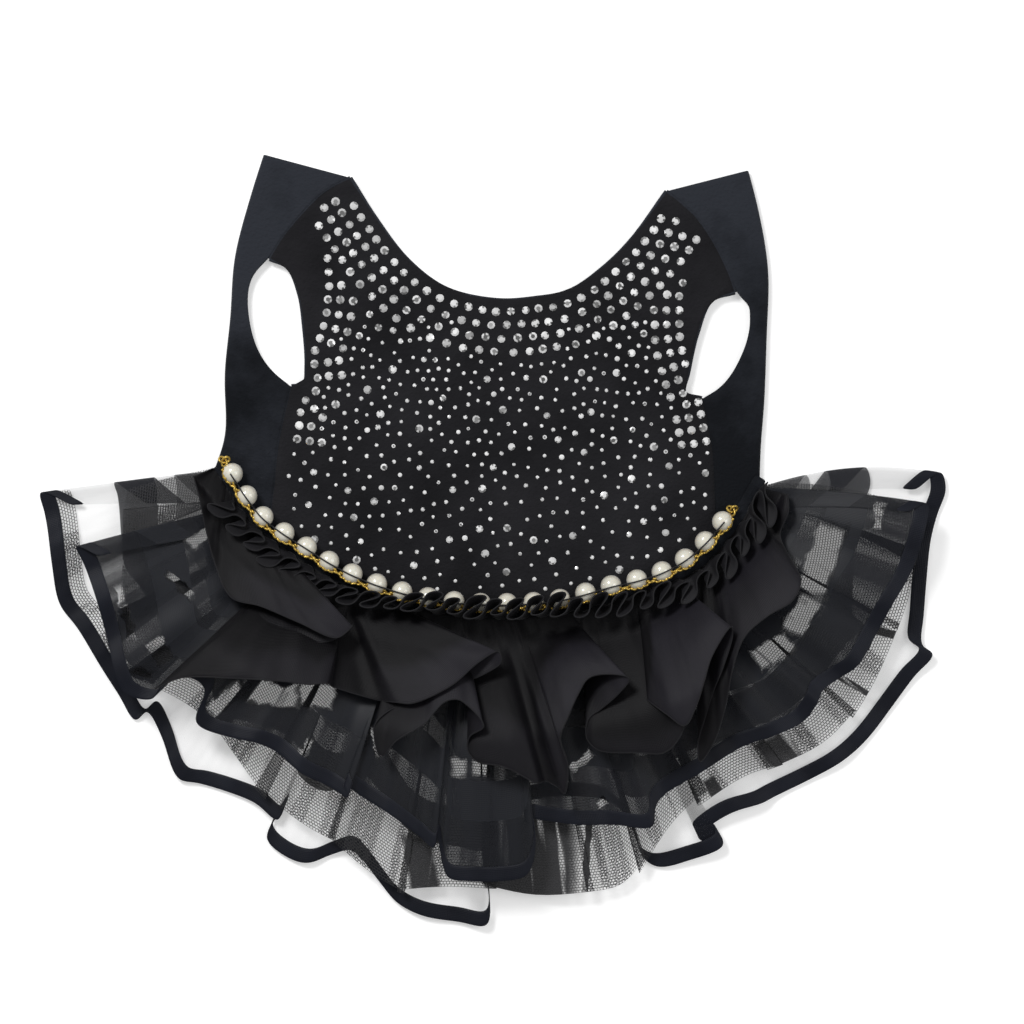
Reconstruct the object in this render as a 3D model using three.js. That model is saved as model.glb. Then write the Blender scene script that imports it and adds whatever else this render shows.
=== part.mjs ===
// A small pet's party dress, laid flat on a surface with its back up.
// X runs across the dress, +Y towards the neck and +Z up from the surface that it lies on.
// The origin is on that surface, under the middle of the belly panel. All sizes are in millimetres.
//
// The bodice is a flattened tube: a back panel on top, a belly panel under it, and two side panels
// that each turn round the outer edge from one to the other. The skirt is sewn to the back's curved
// waist seam: a long organza tier, a net tier, a middle organza tier and a satin tier, from the
// bottom up, with a narrow gathered frill and a chain of pearls over the seam.
import * as THREE from "three";

// Cloth
const VELVET = 1.5; // wall of the bodice panels
const SHEER = 1.0; // wall of the skirt's layers, ribbons and frill
const SEAM_GAP = 0.3; // between pieces that are sewn together
const LAYER_GAP = 0.9; // between the back panel and the belly panel that it lies on

// Heights of the middle of each bodice layer above the surface
const BELLY_MID = VELVET / 2;
const BACK_MID = BELLY_MID + VELVET + LAYER_GAP;

// Pearl chain
const PEARL_RADIUS = 4.2;
const PEARL_COUNT = 22;
const BORE_RADIUS = 1.0;
const THREAD_RADIUS = 0.5;
const CHAIN_HEIGHT = BACK_MID + VELVET / 2 + SEAM_GAP + PEARL_RADIUS;

// Skirt: how far out from the seam the layers lie flat, and where they have climbed to full height.
// The waist seam is close to an ellipse, and the way out is measured from that.
const FLAT_OUT_TO = 15;
const CLIMBED_BY = 48;
const WAIST_CENTRE = { x: -2, y: 14 };
const WAIST_HALF = { x: 113, y: 74 };
const TIER_START = 0.4; // from the waist seam to the cloth's gathered edge
const RIBBON_WIDTH = 5.6;

// Frill
const FRILL_LOOPS = 28;
const FRILL_DEPTH = 10; // from the inner ends of its loops to the outer ends
const FRILL_START = 1.6;
const FRILL_HEIGHT = 5.5;
const FRILL_FOOT = 6; // height of its lower edge at the seam
const FRILL_SLOPE = 0.16; // how much higher that edge is for each millimetre outwards
const FRILL_LEAN = 1.3; // how far each loop swings along the seam

// The colours of the materials
const velvetBlack = new THREE.MeshStandardMaterial({ color: 0x17181b, roughness: 0.95, metalness: 0 });
const satinBlack = new THREE.MeshStandardMaterial({ color: 0x1b1b20, roughness: 0.55, metalness: 0 });
const organzaBlack = new THREE.MeshStandardMaterial({ color: 0x26262c, roughness: 0.6, metalness: 0 });
const netBlack = new THREE.MeshStandardMaterial({ color: 0x2c2c30, roughness: 0.8, metalness: 0 });
const ribbonBlack = new THREE.MeshStandardMaterial({ color: 0x0f1017, roughness: 0.4, metalness: 0 });
const pearlWhite = new THREE.MeshStandardMaterial({ color: 0xe6e0d2, roughness: 0.2, metalness: 0 });
const goldThread = new THREE.MeshStandardMaterial({ color: 0xb08a2e, roughness: 0.35, metalness: 0.9 });

const clamp = THREE.MathUtils.clamp;

// Outlines of the bodice, seen from above. Each row is a point that the edge passes through.
const NECKLINE = [
  { x: -58.6, y: 115.2 },
  { x: -48.5, y: 99.1 },
  { x: -35.5, y: 82.2 },
  { x: -20.2, y: 70.8 },
  { x: 0, y: 66.2 },
  { x: 15.3, y: 67 },
  { x: 29.1, y: 69.8 },
  { x: 42.8, y: 79.2 },
  { x: 54.3, y: 90.7 },
  { x: 68.1, y: 109.8 },
];
const WAIST_SEAM = [
  { x: -112.8, y: -0.8 },
  { x: -96.8, y: -22.8 },
  { x: -78.8, y: -36.8 },
  { x: -60, y: -48 },
  { x: -40, y: -55.2 },
  { x: 0, y: -60.4 },
  { x: 37.6, y: -56.4 },
  { x: 58.8, y: -49.6 },
  { x: 80, y: -41.6 },
  { x: 94.4, y: -26.8 },
  { x: 106.4, y: -7.2 },
];
const PEARL_LINE = [
  { x: -105.6, y: -3.4 },
  { x: -93.6, y: -20.4 },
  { x: -77.2, y: -32 },
  { x: -59.2, y: -42.8 },
  { x: -39.6, y: -50.2 },
  { x: -18.4, y: -54.4 },
  { x: 2.4, y: -55.4 },
  { x: 24.8, y: -53.8 },
  { x: 46, y: -48.2 },
  { x: 64, y: -43.6 },
  { x: 79, y: -35 },
  { x: 90.4, y: -22.6 },
];
const LEFT = {
  shoulderSeam: [
    { x: -58.6, y: 115.2 },
    { x: -68.8, y: 110 },
    { x: -78.2, y: 100.5 },
    { x: -86.1, y: 91.1 },
    { x: -91, y: 82.6 },
  ],
  armholeInner: [
    { x: -91, y: 82.6 },
    { x: -83.7, y: 79.2 },
    { x: -79.1, y: 68.5 },
    { x: -77.2, y: 55.6 },
    { x: -76.2, y: 40 },
    { x: -77.2, y: 32.6 },
    { x: -82.2, y: 31.6 },
  ],
  armholeOuter: [
    { x: -91, y: 82.6 },
    { x: -98.4, y: 76 },
    { x: -99.9, y: 67.7 },
    { x: -96.7, y: 47.8 },
    { x: -89.8, y: 37.2 },
    { x: -82.2, y: 31.6 },
  ],
  sideSeam: [
    { x: -82.2, y: 31.6 },
    { x: -84.5, y: 22 },
    { x: -87.6, y: 7.6 },
    { x: -89.2, y: -9.6 },
  ],
  strapTop: { x: -93.4, y: 124.6 },
  fold: [
    { x: -93.4, y: 124.6 },
    { x: -99, y: 106.8 },
    { x: -105.1, y: 83 },
    { x: -106.8, y: 59.3 },
    { x: -109.1, y: 36.4 },
    { x: -108.8, y: 12 },
    { x: -112.8, y: -0.8 },
  ],
  seamShare: 0.13, // where the side seam meets the waist seam, along the waist seam from its left end
  foldEase: 1, // below 1, the panel's sections run down a little from the armhole to the fold
};
const RIGHT = {
  shoulderSeam: [
    { x: 68.1, y: 109.8 },
    { x: 80.7, y: 99 },
    { x: 88.5, y: 86.4 },
    { x: 93.6, y: 76 },
    { x: 95.6, y: 69.2 },
  ],
  armholeInner: [
    { x: 95.6, y: 69.2 },
    { x: 86.2, y: 66 },
    { x: 80.4, y: 52.4 },
    { x: 76.9, y: 37.2 },
    { x: 75.4, y: 29 },
    { x: 82.3, y: 26.8 },
  ],
  armholeOuter: [
    { x: 95.6, y: 69.2 },
    { x: 101.2, y: 64 },
    { x: 100.6, y: 50.8 },
    { x: 95.4, y: 38.6 },
    { x: 90.4, y: 31.4 },
    { x: 82.3, y: 26.8 },
  ],
  sideSeam: [
    { x: 82.3, y: 26.8 },
    { x: 84.8, y: 16 },
    { x: 86.8, y: 6 },
    { x: 87.4, y: -9.6 },
  ],
  strapTop: { x: 101, y: 118.2 },
  fold: [
    { x: 101, y: 118.2 },
    { x: 104.8, y: 103.7 },
    { x: 109, y: 78.4 },
    { x: 108.4, y: 51.6 },
    { x: 107.4, y: 24.8 },
    { x: 106.2, y: 10 },
    { x: 105.8, y: 2 },
    { x: 105.6, y: -5.6 },
  ],
  seamShare: 0.876,
  foldEase: 0.82,
};

// Hems of the skirt's tiers, seen from above, from the left end to the right.
// x and y say where the hem passes, and lift how far the cloth is raised there over its own layer:
// high at the crest of a ruffle, 0 in a trough. Where x turns back, the cloth folds over itself.
const LONG_HEM = [
  { x: -183.6, y: -8.8, lift: 0.6 },
  { x: -181.6, y: -30, lift: 3.4 },
  { x: -176.8, y: -53.6, lift: 0 },
  { x: -163, y: -75.2, lift: 2.4 },
  { x: -146, y: -100, lift: 4.8 },
  { x: -139.6, y: -99, lift: 0 },
  { x: -128, y: -123.6, lift: 1.8 },
  { x: -110, y: -129.6, lift: 0 },
  { x: -95.6, y: -136.4, lift: 4.6 },
  { x: -90, y: -146.4, lift: 0.6 },
  { x: -74, y: -158, lift: 4 },
  { x: -60.4, y: -153.4, lift: 0 },
  { x: -45, y: -172.4, lift: 3 },
  { x: -26, y: -179.6, lift: 0.4 },
  { x: -6.4, y: -182.4, lift: 4.6 },
  { x: 2, y: -152, lift: 0 },
  { x: 30, y: -142, lift: 3 },
  { x: 58, y: -157.6, lift: 0 },
  { x: 84, y: -152, lift: 4.6 },
  { x: 83, y: -138, lift: 0 },
  { x: 106, y: -132, lift: 3.4 },
  { x: 136, y: -118.4, lift: 0 },
  { x: 158, y: -99, lift: 3 },
  { x: 171, y: -75, lift: 4.8 },
  { x: 168.6, y: -64, lift: 0 },
  { x: 171.2, y: -40, lift: 2.8 },
  { x: 176.4, y: -20, lift: 0 },
  { x: 175, y: -1.6, lift: 2 },
];
const NET_HEM = [
  { x: -176, y: -14, lift: 0 },
  { x: -170, y: -50, lift: 1.8 },
  { x: -152, y: -82, lift: 0 },
  { x: -124, y: -100, lift: 2 },
  { x: -92, y: -114, lift: 0 },
  { x: -72, y: -133, lift: 2 },
  { x: -46, y: -158, lift: 0 },
  { x: -18, y: -167, lift: 1.6 },
  { x: 14, y: -168, lift: 0 },
  { x: 46, y: -165, lift: 2 },
  { x: 70, y: -145, lift: 0 },
  { x: 104, y: -127, lift: 1.8 },
  { x: 134, y: -109, lift: 0 },
  { x: 152, y: -84, lift: 2 },
  { x: 163, y: -50, lift: 0 },
  { x: 170, y: -8, lift: 1.6 },
];
const MIDDLE_HEM = [
  { x: -168.4, y: -29, lift: 1 },
  { x: -162, y: -46, lift: 4 },
  { x: -156, y: -68, lift: 0.6 },
  { x: -141, y: -90, lift: 4.4 },
  { x: -118, y: -101, lift: 0 },
  { x: -98, y: -116, lift: 3.6 },
  { x: -84, y: -131, lift: 0.6 },
  { x: -60, y: -138, lift: 4 },
  { x: -36, y: -143, lift: 0 },
  { x: -24, y: -158, lift: 4.6 },
  { x: 9, y: -162, lift: 4.8 },
  { x: 13, y: -146, lift: 0 },
  { x: 40, y: -146, lift: 3.4 },
  { x: 62, y: -131, lift: 0 },
  { x: 84, y: -118, lift: 4.4 },
  { x: 106, y: -106, lift: 0.4 },
  { x: 127, y: -94, lift: 4 },
  { x: 146, y: -73, lift: 0 },
  { x: 159, y: -52, lift: 4 },
  { x: 168, y: -27, lift: 0.8 },
  { x: 170, y: -11, lift: 3 },
];
const SATIN_HEM = [
  { x: -122, y: -8, lift: 1 },
  { x: -116, y: -34, lift: 4 },
  { x: -114, y: -52, lift: 1.5 },
  { x: -137, y: -91, lift: 1.5 },
  { x: -112, y: -85, lift: 7 },
  { x: -90, y: -83, lift: 3 },
  { x: -66, y: -90, lift: 1.5 },
  { x: -44, y: -90, lift: 10 },
  { x: -42, y: -114, lift: 1 },
  { x: -20, y: -92, lift: 10.5 },
  { x: -14, y: -124, lift: 1 },
  { x: 6, y: -120, lift: 6 },
  { x: 26, y: -128, lift: 1 },
  { x: 32, y: -94, lift: 8 },
  { x: 46, y: -88, lift: 11 },
  { x: 57, y: -110, lift: 1.5 },
  { x: 66, y: -104, lift: 3 },
  { x: 75, y: -78, lift: 11 },
  { x: 91, y: -98, lift: 0.6 },
  { x: 104, y: -92, lift: 4 },
  { x: 119, y: -78, lift: 1 },
  { x: 124, y: -56, lift: 7 },
  { x: 130, y: -38, lift: 1 },
  { x: 133, y: -20, lift: 3 },
];
const FAN_CENTRE = { x: 0, y: 30 }; // the point that the skirt's gathers spread from
const LEAST_STEP = 0.012; // a fold takes up at least this share of the waist seam

// Each tier's place in the stack: its height at the seam, and how much further it climbs outwards
const TIERS = {
  long_tier: { hem: LONG_HEM, level: 0.5, climb: 0, material: organzaBlack, parts: 3, steps: 5 },
  net_tier: { hem: NET_HEM, level: 1.9, climb: 7.4, material: netBlack, parts: 2, steps: 5 },
  middle_tier: { hem: MIDDLE_HEM, level: 3.3, climb: 10.8, material: organzaBlack, parts: 3, steps: 5 },
  satin_tier: { hem: SATIN_HEM, level: 5, climb: 18.6, material: satinBlack, parts: 3, steps: 6 },
};

function spline(rows) {
  const points = rows.map(({ x, y }) => new THREE.Vector3(x, y, 0));
  return new THREE.CatmullRomCurve3(points, false, "centripetal");
}

// One edge made of several splines that meet at corners, each with its own number of steps, so that
// the rows or columns of a wall meet the corners.
function edge(...stretches) {
  const curves = stretches.map(({ rows, steps }) => ({ curve: spline(rows), steps }));
  const total = curves.reduce((sum, { steps }) => sum + steps, 0);
  const getPointAt = (share) => {
    let place = clamp(share, 0, 1) * total;
    for (const { curve, steps } of curves) {
      if (place <= steps) return curve.getPointAt(place / steps);
      place -= steps;
    }
    return curves[curves.length - 1].curve.getPointAt(1);
  };
  return { getPointAt };
}

// The stretch of a curve between two shares of its length, as rows for a new edge.
function stretch(curve, from, to, count) {
  return Array.from({ length: count + 1 }, (_, i) => curve.getPointAt(from + ((to - from) * i) / count));
}

const seam = spline(WAIST_SEAM);
seam.arcLengthDivisions = 600;

// The outward direction across the waist seam, away from the bodice.
function awayFromSeam(share) {
  const along = seam.getTangentAt(share);
  return new THREE.Vector3(along.y, -along.x, 0).normalize();
}

// How far a point lies outside the waist's ellipse, on the line from the ellipse's centre.
function beyondWaist({ x, y }) {
  const far = Math.hypot(x - WAIST_CENTRE.x, y - WAIST_CENTRE.y);
  const turns = Math.hypot((x - WAIST_CENTRE.x) / WAIST_HALF.x, (y - WAIST_CENTRE.y) / WAIST_HALF.y);
  return far * (1 - 1 / turns);
}

// A closed wall around a middle surface that is given for shares 0 to 1 across and along.
function wall(columns, rows, thickness, middle) {
  const grid = [];
  for (let i = 0; i <= columns; i++)
    for (let j = 0; j <= rows; j++) grid.push(middle(i / columns, j / rows));
  const at = (i, j) => i * (rows + 1) + j;
  const near = (i, j) => grid[at(clamp(i, 0, columns), clamp(j, 0, rows))];
  const positions = new Float32Array(grid.length * 6);
  for (let i = 0; i <= columns; i++)
    for (let j = 0; j <= rows; j++) {
      const across = near(i + 1, j).clone().sub(near(i - 1, j));
      const along = near(i, j + 1).clone().sub(near(i, j - 1));
      const half = across.cross(along).setLength(thickness / 2);
      near(i, j).clone().add(half).toArray(positions, at(i, j) * 3);
      near(i, j).clone().sub(half).toArray(positions, (grid.length + at(i, j)) * 3);
    }
  const faces = [];
  const quad = (a, b, c, d) => faces.push(a, b, c, a, c, d);
  const under = (i, j) => grid.length + at(i, j);
  for (let i = 0; i < columns; i++)
    for (let j = 0; j < rows; j++) {
      quad(at(i, j), at(i + 1, j), at(i + 1, j + 1), at(i, j + 1));
      quad(under(i, j), under(i, j + 1), under(i + 1, j + 1), under(i + 1, j));
    }
  for (let i = 0; i < columns; i++) {
    quad(at(i, 0), under(i, 0), under(i + 1, 0), at(i + 1, 0));
    quad(at(i, rows), at(i + 1, rows), under(i + 1, rows), under(i, rows));
  }
  for (let j = 0; j < rows; j++) {
    quad(at(0, j), at(0, j + 1), under(0, j + 1), under(0, j));
    quad(at(columns, j), under(columns, j), under(columns, j + 1), at(columns, j + 1));
  }
  return new THREE.BufferGeometry()
    .setAttribute("position", new THREE.BufferAttribute(positions, 3))
    .setIndex(faces);
}

// A surface stretched between four edges: top and bottom run left to right, the sides top to bottom.
// It is the flat patch between the four corners, pulled out to each edge; how much the shape of a
// side edge shows fades quickly towards the middle.
const SIDE_FADE = 4;
function patch(top, bottom, left, right) {
  const [topLeft, topRight] = [left.getPointAt(0), right.getPointAt(0)];
  const [bottomLeft, bottomRight] = [left.getPointAt(1), right.getPointAt(1)];
  const bulge = (curve, share, from, to) => curve.getPointAt(share).clone().sub(from.clone().lerp(to, share));
  return (u, v) => {
    const point = topLeft.clone().lerp(topRight, u).lerp(bottomLeft.clone().lerp(bottomRight, u), v);
    point.addScaledVector(bulge(top, u, topLeft, topRight), 1 - v);
    point.addScaledVector(bulge(bottom, u, bottomLeft, bottomRight), v);
    point.addScaledVector(bulge(left, v, topLeft, bottomLeft), (1 - u) ** SIDE_FADE);
    return point.addScaledVector(bulge(right, v, topRight, bottomRight), u ** SIDE_FADE);
  };
}

// The side seam from the armhole's lower end down to the waist seam.
function sideSeam(side) {
  return [...side.sideSeam, seam.getPointAt(side.seamShare)];
}

// Soft rises where the laid cloth doesn't lie quite flat.
const BACK_RISES = [
  { x: -62, y: 74, wide: 16, high: 0.8 },
  { x: 62, y: 66, wide: 16, high: 0.8 },
  { x: -38, y: 18, wide: 30, high: 0.7 },
  { x: 30, y: 8, wide: 34, high: 0.9 },
  { x: -8, y: -34, wide: 26, high: 0.8 },
];
function rise(x, y) {
  return BACK_RISES.reduce((sum, bump) => {
    const far = Math.hypot(x - bump.x, y - bump.y) / bump.wide;
    return sum + bump.high * Math.exp(-far * far);
  }, 0);
}

function backPanel() {
  const armholeSteps = 8;
  const sideSteps = 6;
  const shoulderSteps = 4;
  const neckSteps = 12;
  const down = (side) =>
    edge({ rows: side.armholeInner, steps: armholeSteps }, { rows: sideSeam(side), steps: sideSteps });
  const top = edge(
    { rows: [...LEFT.shoulderSeam].reverse(), steps: shoulderSteps },
    { rows: NECKLINE, steps: neckSteps },
    { rows: RIGHT.shoulderSeam, steps: shoulderSteps },
  );
  const hem = spline(stretch(seam, LEFT.seamShare, RIGHT.seamShare, 14));
  const flat = patch(top, hem, down(LEFT), down(RIGHT));
  const columns = neckSteps + 2 * shoulderSteps;
  const rows = armholeSteps + sideSteps;
  return wall(columns, rows, VELVET, (u, v) => {
    const point = flat(u, 1 - v);
    point.z = BACK_MID + rise(point.x, point.y);
    return point;
  });
}

// The belly panel: its sides are the back panel's side seams, and its neck edge is scooped low.
const BELLY_SCOOP = 12;
const BELLY_HEM_DROP = 9;
function bellyPanel() {
  const between = (a, b, drop) => {
    const middle = { x: (a.x + b.x) / 2, y: (a.y + b.y) / 2 - drop };
    return spline([a, middle, b]);
  };
  const [left, right] = [spline(sideSeam(LEFT)), spline(sideSeam(RIGHT))];
  const top = between(left.getPointAt(0), right.getPointAt(0), BELLY_SCOOP);
  const bottom = between(left.getPointAt(1), right.getPointAt(1), BELLY_HEM_DROP);
  const flat = patch(top, bottom, left, right);
  const columns = 14;
  const rows = 6;
  return wall(columns, rows, VELVET, (u, v) => flat(u, 1 - v).setZ(BELLY_MID));
}

// A side panel turns round the outer edge: its section is a flat C, back layer, fold, belly layer.
function sidePanel(side, sign) {
  const stepsEach = 7;
  const tables = [side.shoulderSeam, side.armholeOuter, sideSeam(side)];
  const inner = edge(...tables.map((rows) => ({ rows, steps: stepsEach })));
  const fold = spline(side.fold);
  const turn = (BACK_MID - BELLY_MID) / 2;
  const centre = (BACK_MID + BELLY_MID) / 2;
  const flatColumns = 5; // of the section, for each of the two layers
  const turnColumns = 4;
  const columns = 2 * flatColumns + turnColumns;
  const flatShare = flatColumns / columns;
  const rows = tables.length * stepsEach;
  return wall(columns, rows, VELVET, (across, v) => {
    const down = v ** side.foldEase;
    const along = fold.getTangentAt(down);
    const outward = new THREE.Vector3(along.y, -along.x, 0).normalize().multiplyScalar(-sign);
    const crease = fold.getPointAt(down).clone().addScaledVector(outward, -turn - VELVET / 2);
    const point = inner.getPointAt(v).clone();
    point.addScaledVector(crease.clone().sub(point).normalize(), SEAM_GAP);
    const u = sign < 0 ? across : 1 - across;
    const layer = u < 0.5 ? 1 : -1;
    const share = u < 0.5 ? u : 1 - u;
    if (share <= flatShare) return point.lerp(crease, share / flatShare).setZ(centre + layer * turn);
    const angle = ((share - flatShare) / (0.5 - flatShare)) * (Math.PI / 2);
    point.copy(crease).addScaledVector(outward, turn * Math.sin(angle));
    return point.setZ(centre + layer * turn * Math.cos(angle));
  });
}

// Where each hem row's gathers start on the waist seam, as shares of its length. The angle from the
// fan's centre gives it, and a fold that turns back still moves a little along the seam.
function seamShares(hem) {
  const angle = ({ x, y }) => {
    const turned = Math.atan2(y - FAN_CENTRE.y, x - FAN_CENTRE.x);
    return turned > 0 ? turned - 2 * Math.PI : turned;
  };
  const angles = hem.map(angle);
  const span = angles[angles.length - 1] - angles[0];
  const shares = [];
  angles.forEach((value, i) => {
    const share = (value - angles[0]) / span;
    shares.push(i ? Math.max(share, shares[i - 1] + LEAST_STEP) : 0);
  });
  const last = shares[shares.length - 1];
  return shares.map((share) => share / last);
}

// How far along its way to the hem each row of a tier lies. The first rows are set where every tier
// starts and ends its climb, so that the tiers nest, and the others share the rest evenly.
const CLIMB_ROWS = [0, FLAT_OUT_TO, (FLAT_OUT_TO + CLIMBED_BY) / 2, CLIMBED_BY];
function rowShare(row, rows, reach) {
  const early = (i) => Math.min(CLIMB_ROWS[i] / reach, 1 - (rows - i) * 0.07);
  const last = CLIMB_ROWS.length - 1;
  if (row <= last) return early(row);
  return THREE.MathUtils.lerp(early(last), 1, (row - last) / (rows - last));
}

// The middle surface of a tier: s runs along the hem from left to right, t from the seam to the hem.
function tierSurface({ hem, level, climb }) {
  const line = new THREE.CatmullRomCurve3(hem.map(({ x, y, lift }) => new THREE.Vector3(x, y, lift)));
  const shares = seamShares(hem);
  return (s, t) => {
    const place = s * (hem.length - 1);
    const row = Math.min(Math.floor(place), hem.length - 2);
    const share = THREE.MathUtils.lerp(shares[row], shares[row + 1], place - row);
    const start = seam.getPointAt(share).addScaledVector(awayFromSeam(share), TIER_START);
    const end = line.getPoint(s);
    const lift = Math.max(end.z, 0);
    const reach = beyondWaist(end);
    const point = start.lerp(end.setZ(0), t);
    const out = beyondWaist(point);
    const climbed = clamp((out - FLAT_OUT_TO) / (CLIMBED_BY - FLAT_OUT_TO), 0, 1);
    const lifted = clamp((out - FLAT_OUT_TO) / (reach - FLAT_OUT_TO), 0, 1) ** 1.5;
    return point.setZ(level + climb * climbed + lift * lifted);
  };
}

function tier({ hem, parts, steps, ...rest }) {
  const surface = tierSurface({ hem, ...rest });
  return wall((hem.length - 1) * parts, steps, SHEER, (s, v) => {
    const reach = beyondWaist(surface(s, 1));
    return surface(s, rowShare(Math.round(v * steps), steps, reach));
  });
}

// A ribbon on the outer margin of a tier, lying on its upper side.
function hemRibbon({ hem, parts, ...rest }) {
  const surface = tierSurface({ hem, ...rest });
  const step = 1e-3;
  const rise = SHEER + SEAM_GAP;
  return wall((hem.length - 1) * parts, 1, SHEER, (s, v) => {
    const margin = RIBBON_WIDTH / surface(s, 0).setZ(0).distanceTo(surface(s, 1).setZ(0));
    const t = 1 - margin * (1 - v);
    const from = clamp(s, step, 1 - step);
    const across = surface(from + step, t).sub(surface(from - step, t));
    const outward = surface(s, 1).sub(surface(s, 1 - margin));
    return surface(s, t).addScaledVector(outward.cross(across).normalize(), rise);
  });
}

// The frill is a band that stands on its edge and winds to and fro over the seam in tight loops.
function frill() {
  const columnsEach = 8;
  const first = 0.045;
  const last = 0.965;
  const middleOut = FRILL_START + FRILL_DEPTH / 2;
  return wall(FRILL_LOOPS * columnsEach, 1, SHEER, (s, v) => {
    const turn = s * FRILL_LOOPS * 2 * Math.PI;
    const share = first + (last - first) * s;
    const out = middleOut - (FRILL_DEPTH / 2) * Math.cos(turn);
    const point = seam.getPointAt(share).addScaledVector(awayFromSeam(share), out);
    point.addScaledVector(seam.getTangentAt(share), FRILL_LEAN * Math.cos(turn));
    return point.setZ(FRILL_FOOT + FRILL_SLOPE * out + FRILL_HEIGHT * v);
  });
}

const chain = spline(PEARL_LINE);

// A round bead with a bore, turned from its half section. Its axis lies along the thread.
function pearl() {
  const arcSteps = 5;
  const open = Math.asin(BORE_RADIUS / PEARL_RADIUS);
  const profile = Array.from({ length: arcSteps + 1 }, (_, i) => {
    const angle = -Math.PI / 2 + open + ((Math.PI - 2 * open) * i) / arcSteps;
    return new THREE.Vector2(Math.cos(angle), Math.sin(angle)).multiplyScalar(PEARL_RADIUS);
  });
  profile.push(profile[0].clone());
  const segments = 10;
  return new THREE.LatheGeometry(profile, segments);
}

const THREAD_END = 3.4; // how far the thread stands out of the first and last pearl
function thread() {
  const rows = Array.from({ length: 25 }, (_, i) => chain.getPointAt(i / 24));
  const beyond = PEARL_RADIUS + THREAD_END;
  rows.unshift(rows[0].clone().addScaledVector(chain.getTangentAt(0), -beyond));
  rows.push(rows[rows.length - 1].clone().addScaledVector(chain.getTangentAt(1), beyond));
  const route = new THREE.CatmullRomCurve3(rows, false, "centripetal");
  const section = new THREE.Shape().absarc(0, 0, THREAD_RADIUS, 0, 2 * Math.PI);
  return new THREE.ExtrudeGeometry(section, { steps: 52, curveSegments: 3, extrudePath: route });
}

const dress = new THREE.Group();
function add(name, geometry, material) {
  const mesh = new THREE.Mesh(geometry, material);
  mesh.name = name;
  dress.add(mesh);
  return mesh;
}

add("back_panel", backPanel(), velvetBlack);
add("belly_panel", bellyPanel(), velvetBlack);
add("left_side_panel", sidePanel(LEFT, -1), velvetBlack);
add("right_side_panel", sidePanel(RIGHT, 1), velvetBlack);
Object.entries(TIERS).forEach(([name, sizes]) => add(name, tier(sizes), sizes.material));
add("long_hem_ribbon", hemRibbon(TIERS.long_tier), ribbonBlack);
add("middle_hem_ribbon", hemRibbon(TIERS.middle_tier), ribbonBlack);
add("waist_frill", frill(), satinBlack);
add("chain_thread", thread(), goldThread).position.z = CHAIN_HEIGHT;
for (let i = 0; i < PEARL_COUNT; i++) {
  const share = i / (PEARL_COUNT - 1);
  const bead = add(`pearl_${String(i + 1).padStart(2, "0")}`, pearl(), pearlWhite);
  bead.position.copy(chain.getPointAt(share)).setZ(CHAIN_HEIGHT);
  bead.quaternion.setFromUnitVectors(new THREE.Vector3(0, 1, 0), chain.getTangentAt(share));
}

export default dress;
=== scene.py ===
# %% [markdown]
# # A small pet's party dress
#
# The dress lies flat with its back up: a velvety bodice set with glass stones, a chain of pearls
# along the waist, a tight little frill, and a skirt of satin, organza and net. This lesson builds
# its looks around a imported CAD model, which says where each piece goes. All lengths below are in
# millimetres, in the model's own frame, and become metres only when a mesh is made.

# %% Load the CAD model as the fixed frame
import math
import random

import bmesh
import bpy
import numpy as np
from mathutils import Matrix, Vector
from mathutils.bvhtree import BVHTree


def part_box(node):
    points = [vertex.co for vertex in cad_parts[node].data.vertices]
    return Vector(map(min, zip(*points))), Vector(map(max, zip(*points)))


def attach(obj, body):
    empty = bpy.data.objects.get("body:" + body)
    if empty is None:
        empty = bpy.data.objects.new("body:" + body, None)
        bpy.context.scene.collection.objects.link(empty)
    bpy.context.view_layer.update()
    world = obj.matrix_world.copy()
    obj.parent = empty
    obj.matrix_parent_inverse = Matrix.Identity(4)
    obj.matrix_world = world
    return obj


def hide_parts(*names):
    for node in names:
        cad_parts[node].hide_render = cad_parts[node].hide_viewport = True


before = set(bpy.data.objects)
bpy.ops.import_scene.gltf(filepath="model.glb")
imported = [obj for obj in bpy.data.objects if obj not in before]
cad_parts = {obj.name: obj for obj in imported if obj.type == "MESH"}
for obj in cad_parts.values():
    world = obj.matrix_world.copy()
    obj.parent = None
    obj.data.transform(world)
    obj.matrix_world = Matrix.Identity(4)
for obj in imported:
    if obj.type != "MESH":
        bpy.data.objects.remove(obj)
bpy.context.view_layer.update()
MM = 0.001

# %% [markdown]
# ## The view
#
# The photograph looks straight down on the dress through a long lens, with its centre a little
# below the waist. A spot on the cloth is easiest to give by where it is in that picture, so `spot`
# turns a place in the picture into one in the frame. The height comes from what carries the piece.

# %% Places in the picture
MM_PER_PIXEL = 0.4
ORIGIN_PIXEL = (496.5, 465.0)


def spot(across, down, height=0.0):
    """A place in the picture, counted in pixels, as a place in the frame in mm."""
    x = (across - ORIGIN_PIXEL[0]) * MM_PER_PIXEL
    y = (ORIGIN_PIXEL[1] - down) * MM_PER_PIXEL
    return Vector((x, y, height))


def pixel_of(point):
    """Where a place in the frame is in the picture."""
    return point.x / MM_PER_PIXEL + ORIGIN_PIXEL[0], ORIGIN_PIXEL[1] - point.y / MM_PER_PIXEL


# %% Camera
PICTURE_PIXELS = 1024
LENS = 200
SENSOR = 36
VIEW_HEIGHT = 8.0  # the height above the table at which the picture's scale is true


def add_object(name, data):
    """A new object in the scene that shows this data."""
    made = bpy.data.objects.new(name, data)
    bpy.context.scene.collection.objects.link(made)
    return made


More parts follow.
